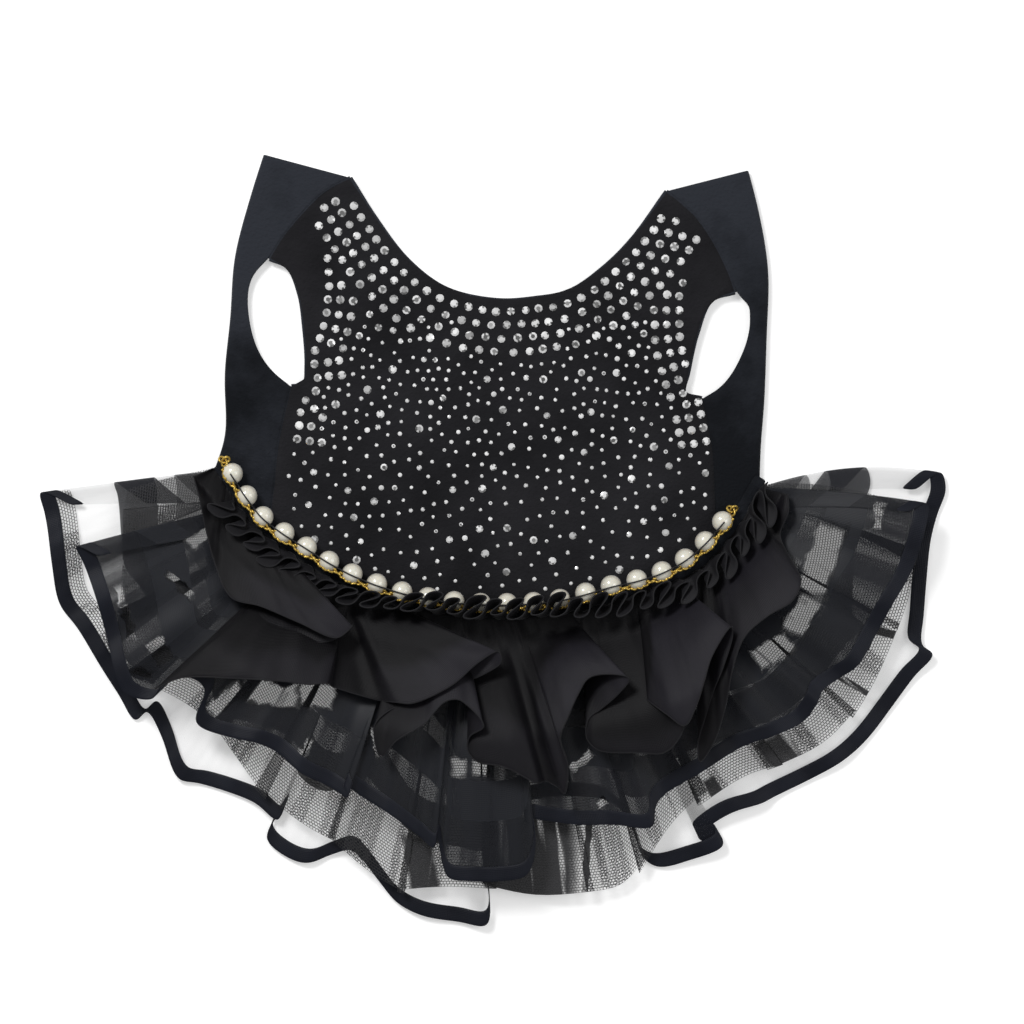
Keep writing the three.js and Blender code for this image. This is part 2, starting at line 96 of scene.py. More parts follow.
camera_data = bpy.data.cameras.new("camera")
camera_data.lens = LENS
camera_data.sensor_width = SENSOR
camera = add_object("camera", camera_data)
away = PICTURE_PIXELS * MM_PER_PIXEL * LENS / SENSOR
camera.location = spot(PICTURE_PIXELS / 2, PICTURE_PIXELS / 2, VIEW_HEIGHT + away) * MM
bpy.context.scene.camera = camera
print("camera height in mm:", round(away))

# %% [markdown]
# ## Light
#
# The dress was photographed on white in soft, even light. A white world lights the floor, and two
# large soft lamps from the top left and the right give the satin its faint highlights. The plain
# view transform keeps the floor white and the cloth black.

# %% World and lamps
WORLD_STRENGTH = 0.42

bpy.context.scene.view_settings.view_transform = "Standard"
world = bpy.data.worlds.new("studio")
bpy.context.scene.world = world
world.use_nodes = True
background = world.node_tree.nodes["Background"]
background.inputs["Color"].default_value = (1.0, 1.0, 1.0, 1.0)
background.inputs["Strength"].default_value = WORLD_STRENGTH


def soft_lamp(name, place, aim, size, watts):
    """A square area lamp at a place in metres, turned towards another."""
    data = bpy.data.lights.new(name, "AREA")
    data.size = size
    data.energy = watts
    lamp = add_object(name, data)
    lamp.location = place
    lamp.rotation_euler = (Vector(aim) - Vector(place)).to_track_quat("-Z", "Y").to_euler()


soft_lamp("key_lamp", (-0.55, 0.7, 1.0), (0, -0.02, 0), 0.4, 13)
soft_lamp("fill_lamp", (0.8, 0.1, 0.9), (0, -0.02, 0), 0.6, 3.5)


# %% Helpers for finishes


def add_node(material, kind, settings=None, **inputs):
    """A new shader node, with its settings and the values of its inputs."""
    made = material.node_tree.nodes.new(kind)
    for key, value in (settings or {}).items():
        setattr(made, key, value)
    for key, value in inputs.items():
        made.inputs[key.replace("_", " ")].default_value = value
    return made


def join(material, out, into):
    material.node_tree.links.new(out, into)


def plain_finish(name, colour, **sockets):
    """A material whose one shader has these constant values on its own sockets."""
    material = bpy.data.materials.new(name)
    material.use_nodes = True
    shader = material.node_tree.nodes["Principled BSDF"]
    shader.inputs["Base Color"].default_value = (*colour, 1.0)
    for key, value in sockets.items():
        shader.inputs[key.replace("_", " ")].default_value = value
    return material, shader


def coordinates(material, kind):
    return add_node(material, "ShaderNodeTexCoord").outputs[kind]


def parts_of(material, vector):
    node = add_node(material, "ShaderNodeSeparateXYZ")
    join(material, vector, node.inputs[0])
    return node.outputs


def calculate(material, operation, *values, **settings):
    """The result of a math node, from values that are numbers or other nodes' outputs."""
    node = add_node(material, "ShaderNodeMath", {"operation": operation, **settings})
    for socket, value in zip(node.inputs, values):
        if isinstance(value, bpy.types.NodeSocket):
            join(material, value, socket)
        else:
            socket.default_value = value
    return node.outputs[0]


def noise_over(material, vector, output="Fac", **inputs):
    node = add_node(material, "ShaderNodeTexNoise", **inputs)
    join(material, vector, node.inputs["Vector"])
    return node.outputs[output]


def scaled(material, vector, scale):
    node = add_node(material, "ShaderNodeMapping", Scale=scale)
    join(material, vector, node.inputs["Vector"])
    return node.outputs["Vector"]


def map_range(material, value, **inputs):
    node = add_node(material, "ShaderNodeMapRange", **inputs)
    join(material, value, node.inputs["Value"])
    return node.outputs["Result"]


def colour_ramp(material, share, stops, interpolation="LINEAR"):
    """The colour for a share, from stops that are a position and a colour each."""
    node = add_node(material, "ShaderNodeValToRGB")
    ramp = node.color_ramp
    ramp.interpolation = interpolation
    while len(ramp.elements) < len(stops):
        ramp.elements.new(0.5)
    for element, (position, colour) in zip(ramp.elements, stops):
        element.position = position
        element.color = (*colour, 1.0)
    join(material, share, node.inputs["Fac"])
    return node.outputs["Color"]


def bump_of(material, height, strength, distance, over=None):
    """The normal that a height gives, laid over another normal if there is one."""
    node = add_node(material, "ShaderNodeBump", Strength=strength, Distance=distance)
    join(material, height, node.inputs["Height"])
    if over is not None:
        join(material, over, node.inputs["Normal"])
    return node.outputs["Normal"]


# %% Floor
FLOOR_HALF = 1.6
FLOOR_BELOW = 0.0003
floor_finish, _ = plain_finish("white_floor", (0.8, 0.8, 0.8), Roughness=0.9, Emission_Strength=0.35)
floor_mesh = bmesh.new()
bmesh.ops.create_grid(floor_mesh, x_segments=2, y_segments=2, size=FLOOR_HALF)
floor_data = bpy.data.meshes.new("floor")
floor_mesh.to_mesh(floor_data)
floor_mesh.free()
floor_data.materials.append(floor_finish)
floor_data.transform(Matrix.Translation((0, 0, -FLOOR_BELOW)))
floor = add_object("floor", floor_data)

# %% [markdown]
# ## Velvet for the bodice
#
# Velvet is a pile that stands up from its ground, so it is very rough, catches light at grazing
# angles and shows soft patches where it has been brushed. A sheen gives the first, and noise at two
# scales gives the pile and the patches. The back's velvet is a warm black, and the sides' is bluer.

# %% Velvet
TOP_LIGHTER_OVER = 0.1  # how far up the dress the velvet grows lighter, in metres


def velvet(name, dark, light, sheen, top_lighter_by):
    """Velvet with soft patches, whose colour grows lighter towards the shoulders."""
    material, shader = plain_finish(name, dark, Roughness=0.92, Sheen_Weight=sheen, Sheen_Roughness=0.45,
                                    Specular_IOR_Level=0.06)
    place = coordinates(material, "Object")
    patches = noise_over(material, place, Scale=26.0, Detail=5.0, Roughness=0.6)
    pile = noise_over(material, place, Scale=750.0, Detail=3.0)
    towards_top = map_range(material, parts_of(material, place)["Y"], From_Max=TOP_LIGHTER_OVER, To_Min=-top_lighter_by,
                    To_Max=top_lighter_by * 2)
    lighter = calculate(material, "ADD", patches, towards_top)
    colour = colour_ramp(material, lighter, [(0.36, dark), (0.7, light)])
    join(material, colour, shader.inputs["Base Color"])
    dents = bump_of(material, patches, 0.6, 0.004)
    join(material, bump_of(material, pile, 0.9, 0.0006, dents), shader.inputs["Normal"])
    return material


back_velvet = velvet("back_velvet", (0.0085, 0.0084, 0.0096), (0.0165, 0.0162, 0.0185), 0.06, 0.0)
side_velvet = velvet("side_velvet", (0.006, 0.0068, 0.0086), (0.022, 0.0245, 0.031), 0.07, 0.12)

# %% [markdown]
# ## Satin, organza, net and ribbon
#
# These finishes follow the cloth, so they read the piece's own UV map, which runs in millimetres:
# along the hem one way and in from the hem the other. Satin has a fine cross weave in its bump.
# Organza is a clear cloth with a woven satin stripe, so its alpha steps up between two distances
# from the hem. Its gathers lie over each other, so it is dense except in a few windows. Net is
# threads round small cells, which a brick pattern gives at the right size. In streaks a second and
# a third layer of it show as well, and it is nearly closed in the few places where it lies thick.

# %% Satin and ribbon
RIDGES_PER_MM = 0.314


def weave_bump(material, shader, uv, spacing, strength, over=None):
    """Two crossed sets of ridges, one thread apart, as the shader's bump."""
    heights = []
    for direction in ("X", "Y"):
        wave = add_node(material, "ShaderNodeTexWave", {"bands_direction": direction},
                        Scale=RIDGES_PER_MM / spacing, Distortion=1.5, Detail=1.0)
        join(material, uv, wave.inputs["Vector"])
        heights.append(wave.outputs["Fac"])
    weave = bump_of(material, calculate(material, "ADD", *heights), strength, 0.0002, over)
    join(material, weave, shader.inputs["Normal"])


def soft_creases(material, uv):
    """Long shallow creases that run from the seam to the hem."""
    stretched = scaled(material, uv, (0.05, 0.02, 1.0))
    height = noise_over(material, stretched, Scale=1.0, Detail=1.5, Roughness=0.4)
    return bump_of(material, height, 0.6, 0.005)


def satin(name, dark, light, roughness, sheen, shade_by_height=False):
    """Satin in slow patches of dark and light, or with painted shade, dark in the hollows of its folds, and
    painted light on top.
    """
    material, shader = plain_finish(name, dark, Roughness=roughness, Sheen_Weight=sheen, Sheen_Roughness=0.35,
                                    Specular_IOR_Level=0.13)
    uv = coordinates(material, "UV")
    share = noise_over(material, uv, Scale=0.05, Detail=4.0)
    stops = [(0.35, dark), (0.68, light)]
    if shade_by_height:
        # Painted shade: the folds' height attribute darkens the colour in the hollows and lightens it on the
        # crests, over the patches.
        height = add_node(material, "ShaderNodeAttribute", {"attribute_name": "painted_fold_shade"}).outputs["Fac"]
        patches_and_shade = calculate(material, "MULTIPLY_ADD", share, 0.8, height)
        share = calculate(material, "ADD", patches_and_shade, -0.4)
        stops = [(0.15, dark), (1.0, light)]
    join(material, colour_ramp(material, share, stops), shader.inputs["Base Color"])
    weave_bump(material, shader, uv, 0.7, 0.25, soft_creases(material, uv))
    return material


# The satin tier's dark colour is painted shade in its hollows, and its light colour is painted light on its
# crests.
painted_shade_satin = satin("painted_shade_satin", (0.002, 0.0018, 0.0026), (0.0118, 0.011, 0.0147), 0.5, 0.025,
                    shade_by_height=True)
frill_cloth = satin("frill_cloth", (0.0065, 0.0063, 0.0076), (0.0105, 0.0102, 0.0122), 0.55, 0.05)
hem_ribbon = satin("hem_ribbon", (0.0042, 0.005, 0.0088), (0.0085, 0.0098, 0.0155), 0.4, 0.05)
rolled_edge = satin("rolled_edge", (0.0088, 0.0086, 0.01), (0.014, 0.0137, 0.0158), 0.6, 0.05)

# %% Organza and net
DEEPEST = 100.0  # longer than any tier is deep, in mm
CLEAR_ABOVE_STRIPE = 8


def alpha_steps(material, uv, steps):
    """Alpha by the distance in from the hem: (distance in mm, alpha from there on)."""
    share = calculate(material, "DIVIDE", parts_of(material, uv)["Y"], DEEPEST)
    stops = [(distance / DEEPEST, (alpha, alpha, alpha)) for distance, alpha in steps]
    return colour_ramp(material, share, stops, "CONSTANT")


WINDOWS = [
    # across, down, half length and half width in the picture, and turn in degrees
    (199, 537, 12, 6, 40), (181, 586, 17, 4, -44), (161, 651, 12, 10, -62), (126, 612, 24, 4, -74),
    (140, 670, 16, 4, -20), (272, 694, 26, 11, -8), (318, 694, 16, 13, -10), (226, 700, 20, 8, 40),
    (302, 752, 14, 4, 50), (377, 742, 15, 4, -78), (470, 767, 18, 8, 0), (579, 761, 14, 4, 42),
    (632, 722, 17, 9, -6), (600, 803, 5, 3, 30), (822, 560, 36, 14, 72), (803, 612, 22, 12, 60),
    (772, 650, 19, 12, 30), (878, 516, 12, 5, 80), (705, 760, 16, 5, 35),
]
# The same columns, for the places where many pleats of the net lie on each other
THICK_NET = [
    (531, 858, 41, 42, 0), (587, 856, 36, 3, 86), (421, 866, 30, 13, -80), (785, 757, 24, 13, -48),
    (855, 686, 20, 3, -32), (716, 792, 14, 6, -60), (892, 634, 18, 4, -12),
]
WINDOWS_RAGGED_BY = 0.007
THICK_RAGGED_BY = 0.002


def in_boxes(material, boxes, ragged_by):
    """One inside any of the turned boxes, with ragged edges, and nought elsewhere."""
    place = coordinates(material, "Object")
    shift = add_node(material, "ShaderNodeVectorMath", {"operation": "MULTIPLY_ADD"})
    shift.inputs[1].default_value = (ragged_by, ragged_by, 0)
    join(material, noise_over(material, place, "Color", Scale=160.0, Detail=4.0), shift.inputs[0])
    join(material, place, shift.inputs[2])
    total = 0.0
    for across, down, half_length, half_width, turn in boxes:
        box = add_node(material, "ShaderNodeMapping", {"vector_type": "TEXTURE"})
        middle = spot(across, down) * MM + Vector((ragged_by / 2, ragged_by / 2, 0))
        pixel = MM_PER_PIXEL * MM
        box.inputs["Location"].default_value = middle
        box.inputs["Rotation"].default_value = (0, 0, math.radians(turn))
        box.inputs["Scale"].default_value = (half_length * pixel, half_width * pixel, 1)
        size = add_node(material, "ShaderNodeVectorMath", {"operation": "ABSOLUTE"})
        join(material, shift.outputs["Vector"], box.inputs["Vector"])
        join(material, box.outputs["Vector"], size.inputs[0])
        parts = parts_of(material, size.outputs["Vector"])
        farther = calculate(material, "MAXIMUM", parts["X"], parts["Y"])
        inside = map_range(material, farther, From_Min=1.2, From_Max=0.88)
        total = calculate(material, "MAXIMUM", total, inside)
    return total


def streak_mask(material, uv, scale, least, most):
    """Streaks that run from the seam to the hem: noise stretched that way, stepped from 0 to 1."""
    stretched = scaled(material, uv, (scale, scale * 0.09, 1.0))
    return map_range(material, noise_over(material, stretched, Scale=1.0, Detail=2.0), From_Min=least,
                     From_Max=most)


def organza(name, colour, clear, stripe, stripe_from, stripe_to, gathered, in_window, crinkled):
    """Organza: clear at the hem, then a stripe, then gathered, with windows and a crinkle of streaks."""
    material, shader = plain_finish(name, colour, Roughness=0.45, Sheen_Weight=0.04, Specular_IOR_Level=0.15)
    uv = coordinates(material, "UV")
    alpha = alpha_steps(material, uv, [(0, clear), (stripe_from, stripe), (stripe_to, clear),
                                       (stripe_to + CLEAR_ABOVE_STRIPE, gathered)])
    thicker = calculate(material, "MULTIPLY", streak_mask(material, uv, 0.09, 0.4, 0.6), crinkled)
    total = calculate(material, "ADD", thicker, alpha, use_clamp=True)
    windows = calculate(material, "MULTIPLY", in_boxes(material, WINDOWS, WINDOWS_RAGGED_BY),
                        streak_mask(material, uv, 0.16, 0.28, 0.42))
    with_windows = add_node(material, "ShaderNodeMix", B=in_window)
    join(material, windows, with_windows.inputs["Factor"])
    join(material, total, with_windows.inputs["A"])
    join(material, with_windows.outputs["Result"], shader.inputs["Alpha"])
    weave_bump(material, shader, uv, 0.8, 0.15)
    return material


# Each layer's turn in degrees, and the scale and the two limits of its streaks if it isn't everywhere
NET_LAYERS = [(0, None), (17, (0.055, 0.53, 0.55)), (-24, (0.075, 0.58, 0.6))]
VEIL = 0.86


def net(name, colour, cell, thread):
    """Net with round cells, in one to three layers, and nearly closed where its pleats lie thick."""
    material, shader = plain_finish(name, colour, Roughness=0.7)
    uv = coordinates(material, "UV")
    elsewhere = calculate(material, "SUBTRACT", 1.0, in_boxes(material, WINDOWS, WINDOWS_RAGGED_BY))
    total = 0.0
    for turn, streaks in NET_LAYERS:
        turned = add_node(material, "ShaderNodeMapping")
        turned.inputs["Rotation"].default_value = (0, 0, math.radians(turn))
        bricks = add_node(material, "ShaderNodeTexBrick", {"offset": 0.5, "squash": 1.0}, Scale=1.0,
                          Mortar_Size=thread / 2, Mortar_Smooth=0.3, Brick_Width=cell, Row_Height=cell * 0.8,
                          Color1=(0, 0, 0, 1), Color2=(0, 0, 0, 1), Mortar=(1, 1, 1, 1))
        join(material, uv, turned.inputs["Vector"])
        join(material, turned.outputs["Vector"], bricks.inputs["Vector"])
        threads = bricks.outputs["Color"]
        if streaks:
            there = calculate(material, "MULTIPLY", elsewhere, streak_mask(material, uv, *streaks))
            threads = calculate(material, "MULTIPLY", threads, there)
        total = calculate(material, "MAXIMUM", total, threads)
    thick = calculate(material, "MULTIPLY", in_boxes(material, THICK_NET, THICK_RAGGED_BY),
                      streak_mask(material, uv, 0.22, 0.3, 0.42))
    veil = calculate(material, "MULTIPLY", thick, VEIL)
    join(material, calculate(material, "MAXIMUM", total, veil), shader.inputs["Alpha"])
    return material


long_organza = organza("long_organza", (0.016, 0.017, 0.022), clear=0.05, stripe=0.66, stripe_from=30,
                       stripe_to=46, gathered=0.4, in_window=0.05, crinkled=0.03)
middle_organza = organza("middle_organza", (0.0105, 0.0115, 0.015), clear=0.5, stripe=0.88, stripe_from=24,
                         stripe_to=40, gathered=0.78, in_window=0.06, crinkled=0.34)
black_net = net("black_net", (0.012, 0.012, 0.014), cell=1.35, thread=0.27)

# %% [markdown]
# ## Helpers for lines and cloth
#
# A `Line` is a smooth curve through a few points that can be asked for any share of its length. A
# sheet of cloth is a grid from `bmesh.ops.create_grid` whose points are moved to their places, so
# the operator makes the faces and the UV map, and only the shape is worked out here.

# %% Smooth lines


def smooth_point(points, place):
    """The point on a centripetal Catmull-Rom curve at a place from 0 to the last row's number."""
    last = len(points) - 1
    i = min(int(place), last - 1)
    p1, p2 = points[i], points[i + 1]
    p0 = points[i - 1] if i > 0 else p1 * 2 - p2
    p3 = points[i + 2] if i + 2 <= last else p2 * 2 - p1
    knots = [0.0]
    for a, b in ((p0, p1), (p1, p2), (p2, p3)):
        knots.append(knots[-1] + max((b - a).length, 1e-6) ** 0.5)
    t = knots[1] + (knots[2] - knots[1]) * (place - i)

    def between(a, b, ka, kb):
        return a * ((kb - t) / (kb - ka)) + b * ((t - ka) / (kb - ka))

    a1 = between(p0, p1, knots[0], knots[1])
    a2 = between(p1, p2, knots[1], knots[2])
    a3 = between(p2, p3, knots[2], knots[3])
    b1 = between(a1, a2, knots[0], knots[2])
    b2 = between(a2, a3, knots[1], knots[3])
    return between(b1, b2, knots[1], knots[2])


class Line:
    """A smooth line through rows of points in mm."""

    def __init__(self, points, steps=16):
        points = [Vector(p).to_3d() for p in points]
        count = (len(points) - 1) * steps
        self.dense = np.array([smooth_point(points, i / steps) for i in range(count + 1)])
        pieces = np.linalg.norm(np.diff(self.dense, axis=0), axis=1)
        self.sums = np.concatenate([[0.0], np.cumsum(pieces)])
        self.length = self.sums[-1]

    def at(self, share):
        wanted = min(max(share, 0.0), 1.0) * self.length
        return Vector([float(np.interp(wanted, self.sums, self.dense[:, k])) for k in range(3)])

    def along(self, share):
        step = 0.002
        return (self.at(share + step) - self.at(share - step)).normalized()

    def outward(self, share):
        """To the right of the way along, in plan."""
        ahead = self.along(share)
        return Vector((ahead.y, -ahead.x, 0)).normalized()


# %% Pieces from a bmesh


def as_piece(name, data, finish, replaces=(), slot=None):
    """A mesh as a piece of the dress, riding on the root body, in place of its CAD nodes."""
    data.materials.append(finish)
    piece = add_object(name, data)
    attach(piece, "root")
    if replaces:
        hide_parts(*replaces)
    return piece


def piece_from(mesh, name, finish, replaces=(), slot=None, smooth=True):
    """A piece of the dress in metres from a bmesh in mm."""
    bmesh.ops.transform(mesh, matrix=Matrix.Scale(MM, 4), verts=mesh.verts)
    for face in mesh.faces:
        face.smooth = smooth
    data = bpy.data.meshes.new(name)
    mesh.to_mesh(data)
    mesh.free()
    return as_piece(name, data, finish, replaces, slot)


def cloth_grid(columns, rows, place, height=None):
    """A grid whose point at shares (u, v) is moved to place(u, v).

    Its UV map is in mm: along the far edge one way, and in from that edge the other way. A height
    function gives each point an attribute for the colour's painted shade, from 0, painted dark as in a
    hollow, to 1, painted light as on a crest.
    """
    far_edge = [place(i / columns, 1.0) for i in range(columns + 1)]
    depths = [(far - place(i / columns, 0.0)).length for i, far in enumerate(far_edge)]
    along = [0.0]
    for a, b in zip(far_edge, far_edge[1:]):
        along.append(along[-1] + (b - a).length)
    mesh = bmesh.new()
    uv = mesh.loops.layers.uv.new("UVMap")
    bmesh.ops.create_grid(mesh, x_segments=columns, y_segments=rows, size=0.5)
    for face in mesh.faces:
        for corner in face.loops:
            column = round((corner.vert.co.x + 0.5) * columns)
            corner[uv].uv = (along[column], (0.5 - corner.vert.co.y) * depths[column])
    # Painted shade of the folds, for the colour; points without a height function get the middle value.
    painted_fold_shade = mesh.verts.layers.float.new("painted_fold_shade")
    for vert in mesh.verts:
        u, v = vert.co.x + 0.5, vert.co.y + 0.5
        vert.co = place(u, v)
        vert[painted_fold_shade] = height(u, v) if height else 0.5
    return mesh


def soften(piece, levels):
    rounded = piece.modifiers.new("soften", "SUBSURF")
    rounded.levels = levels
    rounded.render_levels = levels


def cloth_modifiers(piece, thickness):
    """Makes a sheet smooth and gives it its thickness."""
    soften(piece, 1)
    wall = piece.modifiers.new("cloth_thickness", "SOLIDIFY")
    wall.thickness = thickness * MM
    wall.offset = 0.0
    normals = piece.modifiers.new("flat_faces", "WEIGHTED_NORMAL")
    normals.keep_sharp = True


def area_of(piece):
    """The area of a piece's mesh in square metres, before its modifiers."""
    return sum(polygon.area for polygon in piece.data.polygons)


LEAST_SIDE = 10  # of a sheet, in mm


def sheet_of(piece, thickness, width, depth):
    """Softens a piece and gives it this thickness, and prints its flat size in mm and its area."""
    cloth_modifiers(piece, thickness)
    flat = (round(width) * MM, max(depth, LEAST_SIDE) * MM)
    area = min(area_of(piece), flat[0] * flat[1])
    print(piece.name, "flat size in mm:", round(width), "x", depth, "area in cm2:", round(area * 1e4, 1))


# %% [markdown]
# ## The bodice
#
# The back, the belly and the two side panels already have their true outlines in the CAD model, so
# each is a copy of its CAD mesh. The copy's loose triangles are merged, joined back into quads where
# they are flat enough, and softened a little, because velvet's edges are turned under and rounded.

# %% Bodice panels from their CAD solids
PANEL_EDGE_CREASE = 0.85
FLAT_ENOUGH = math.radians(40)


def panel_from(node, finish, slot):
    """A softened copy of a panel's CAD mesh."""
    mesh = bmesh.new()
    mesh.from_mesh(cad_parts[node].data)
    bmesh.ops.remove_doubles(mesh, verts=mesh.verts, dist=1e-6)
    bmesh.ops.join_triangles(mesh, faces=mesh.faces, angle_face_threshold=FLAT_ENOUGH,
                             angle_shape_threshold=FLAT_ENOUGH)
    crease = mesh.edges.layers.float.new("crease_edge")
    for edge in mesh.edges:
        if edge.is_manifold and edge.calc_face_angle() > FLAT_ENOUGH:
            edge[crease] = PANEL_EDGE_CREASE
    bmesh.ops.transform(mesh, matrix=Matrix.Scale(1 / MM, 4), verts=mesh.verts)
    piece = piece_from(mesh, node + "_cloth", finish, [node], slot)
    soften(piece, 2)
    return piece


back = panel_from("back_panel", back_velvet, "back_velvet")
others = [panel_from(node, side_velvet, "side_velvet")
          for node in ("belly_panel", "left_side_panel", "right_side_panel")]
for panel in (back, *others):
    print(panel.name, "area in cm2:", round(area_of(panel) * 1e4))

# %% Edges of the bodice, as lines in mm
neckline = Line([(-58.6, 115.2), (-48.5, 99.1), (-35.5, 82.2), (-20.2, 70.8), (0, 66.2), (15.3, 67),
                 (29.1, 69.8), (42.8, 79.2), (54.3, 90.7), (68.1, 109.8)])
left_armhole = Line([(-91, 82.6), (-83.7, 79.2), (-79.1, 68.5), (-77.2, 55.6), (-76.2, 40), (-77.2, 32.6),
                     (-82.2, 31.6)])
right_armhole = Line([(95.6, 69.2), (86.2, 66), (80.4, 52.4), (76.9, 37.2), (75.4, 29), (82.3, 26.8)])
left_shoulder = Line([(-58.6, 115.2), (-68.8, 110), (-78.2, 100.5), (-86.1, 91.1), (-91, 82.6)])
right_shoulder = Line([(68.1, 109.8), (80.7, 99), (88.5, 86.4), (93.6, 76), (95.6, 69.2)])
left_seam = Line([(-82.2, 31.6), (-84.5, 22), (-87.6, 7.6), (-89.2, -9.6), (-91.6, -26.9)])
right_seam = Line([(82.3, 26.8), (84.8, 16), (86.8, 6), (87.4, -9.6), (87.6, -20.0), (88.0, -33.4)])
waist = Line([(-112.8, -0.8), (-96.8, -22.8), (-78.8, -36.8), (-60, -48), (-40, -55.2), (0, -60.4),
              (37.6, -56.4), (58.8, -49.6), (80, -41.6), (94.4, -26.8), (106.4, -7.2)], steps=40)
print("waist seam in mm:", round(waist.length))

# %% [markdown]
# ## The skirt's tiers
#
# Each tier is gathered into the waist seam and much wider at its hem, so the hem swings in and out
# and folds over itself. A tier is described by its hem: rows of places in the picture, each with
# how high the cloth is lifted there over its own layer. Where the rows turn back, the cloth does
# too, and the heights keep the two layers apart. Straight threads run from the seam to the hem, and
# the cloth climbs over the layers below it in the same way as in the CAD model.

# %% How high a tier lies
FLAT_OUT_TO = 15
CLIMBED_BY = 48
WAIST_CENTRE = Vector((-2, 14, 0))
WAIST_HALF = (113, 74)


def beyond_waist(point):
    """How far a point lies outside the waist's ellipse, in mm."""
    away = Vector((point.x - WAIST_CENTRE.x, point.y - WAIST_CENTRE.y, 0))
    turns = math.hypot(away.x / WAIST_HALF[0], away.y / WAIST_HALF[1])
    return away.length * (1 - 1 / max(turns, 1e-6))


def base_height(point, level, climb):
    share = (beyond_waist(point) - FLAT_OUT_TO) / (CLIMBED_BY - FLAT_OUT_TO)
    return level + climb * min(max(share, 0.0), 1.0)


# %% Where each hem row starts on the waist seam
FAN_CENTRE = Vector((0, 30, 0))
LEAST_STEP = 0.004


def seam_shares(hem):
    """Shares along the waist seam for the rows of a hem: fanned out, and never turning back."""
    angles = []
    for point in hem:
        angle = math.atan2(point.y - FAN_CENTRE.y, point.x - FAN_CENTRE.x)
        angles.append(angle - 2 * math.pi if angle > 0 else angle)
    shares = []
    for angle in angles:
        share = (angle - angles[0]) / (angles[-1] - angles[0])
        shares.append(max(share, shares[-1] + LEAST_STEP) if shares else 0.0)
    return [share / shares[-1] for share in shares]


SEWN_FLAT = 9  # how far out from the seam a tier lies flat, under the frill
SEWN_OUT = 0.6
BOW_SHARE = 0.07


def tier_surface(rows, level, climb, early=1.6, roots=None, bows=(0, 0), seam=(0, 1), turned=(0, 0)):
    """The place at u along the hem and v from the seam to the hem.

    The bows are how far the first and the last edge curve out, in mm. The seam is the part of the
    waist that the tier is sewn to, and turned is how far its two ends are turned back along it.
    """
    hem = [spot(across, down, lift) for across, down, lift in rows]
    shares = roots or [seam[0] + (seam[1] - seam[0]) * share for share in seam_shares(hem)]
    shares[0] += turned[0]
    shares[-1] -= turned[1]

    def place(u, v):
        row = u * (len(hem) - 1)
        i = min(int(row), len(hem) - 2)
        share = shares[i] + (shares[i + 1] - shares[i]) * (row - i)
        start = waist.at(share) + waist.outward(share) * SEWN_OUT
        end = smooth_point(hem, row)
        lift = max(end.z, 0.0)
        end.z = 0.0
        point = start.lerp(end, v)
        across = (end - start).cross(Vector((0, 0, 1))).normalized()
        bow = bows[0] * max(0.0, 1 - u / BOW_SHARE) - bows[1] * max(0.0, 1 - (1 - u) / BOW_SHARE)
        point += across * bow * 4 * v * (1 - v)
        free = (end - start).length - SEWN_FLAT
        out = min(max((v * (free + SEWN_FLAT) - SEWN_FLAT) / free, 0.0), 1.0)
        point.z = base_height(point, level, climb) + lift * (1 - (1 - out) ** early)
        return point

    return place


def hem_length(place, samples=400):
    """The length in mm of a surface's outer edge."""
    points = [place(i / samples, 1.0) for i in range(samples + 1)]
    return sum((b - a).length for a, b in zip(points, points[1:]))


DEPTHS_MEASURED = 21


def tier(name, place, columns, rows, finish, thickness, node, slot, height=None):
    """A tier of the skirt as a sheet of cloth. Its depth is the mean of depths all along it."""
    shares = [i / (DEPTHS_MEASURED - 1) for i in range(DEPTHS_MEASURED)]
    depth = sum((place(share, 1.0) - place(share, 0.0)).length for share in shares) / DEPTHS_MEASURED
    piece = piece_from(cloth_grid(columns, rows, place, height), name, finish, [node], slot)
    sheet_of(piece, thickness, hem_length(place), round(depth))


BAND_ABOVE = 0.3


def hem_band(name, place, columns, near, far, thickness, finish, slot, node=None, part=(0, 1)):
    """A band on top of a tier, between two distances from its hem, along a part of it."""
    above = thickness / 2 + BAND_ABOVE

    def band(u, v):
        whole = part[0] + (part[1] - part[0]) * u
        depth = (place(whole, 1.0) - place(whole, 0.0)).length
        point = place(whole, 1 - (near + (far - near) * (1 - v)) / depth)
        point.z += above
        return point

    piece = piece_from(cloth_grid(columns, 2, band), name, finish, [node] if node else (), slot)
    sheet_of(piece, thickness, hem_length(band), far - near)


# %% [markdown]
# ### The long organza tier
#
# The lowest layer is clear organza with a dark satin ribbon round its hem. It lies nearly flat, so
# its hem is drawn almost true. At each side its end is turned back over itself, and in the middle
# it is tucked up under the others, with a straight fold at the lowest point.

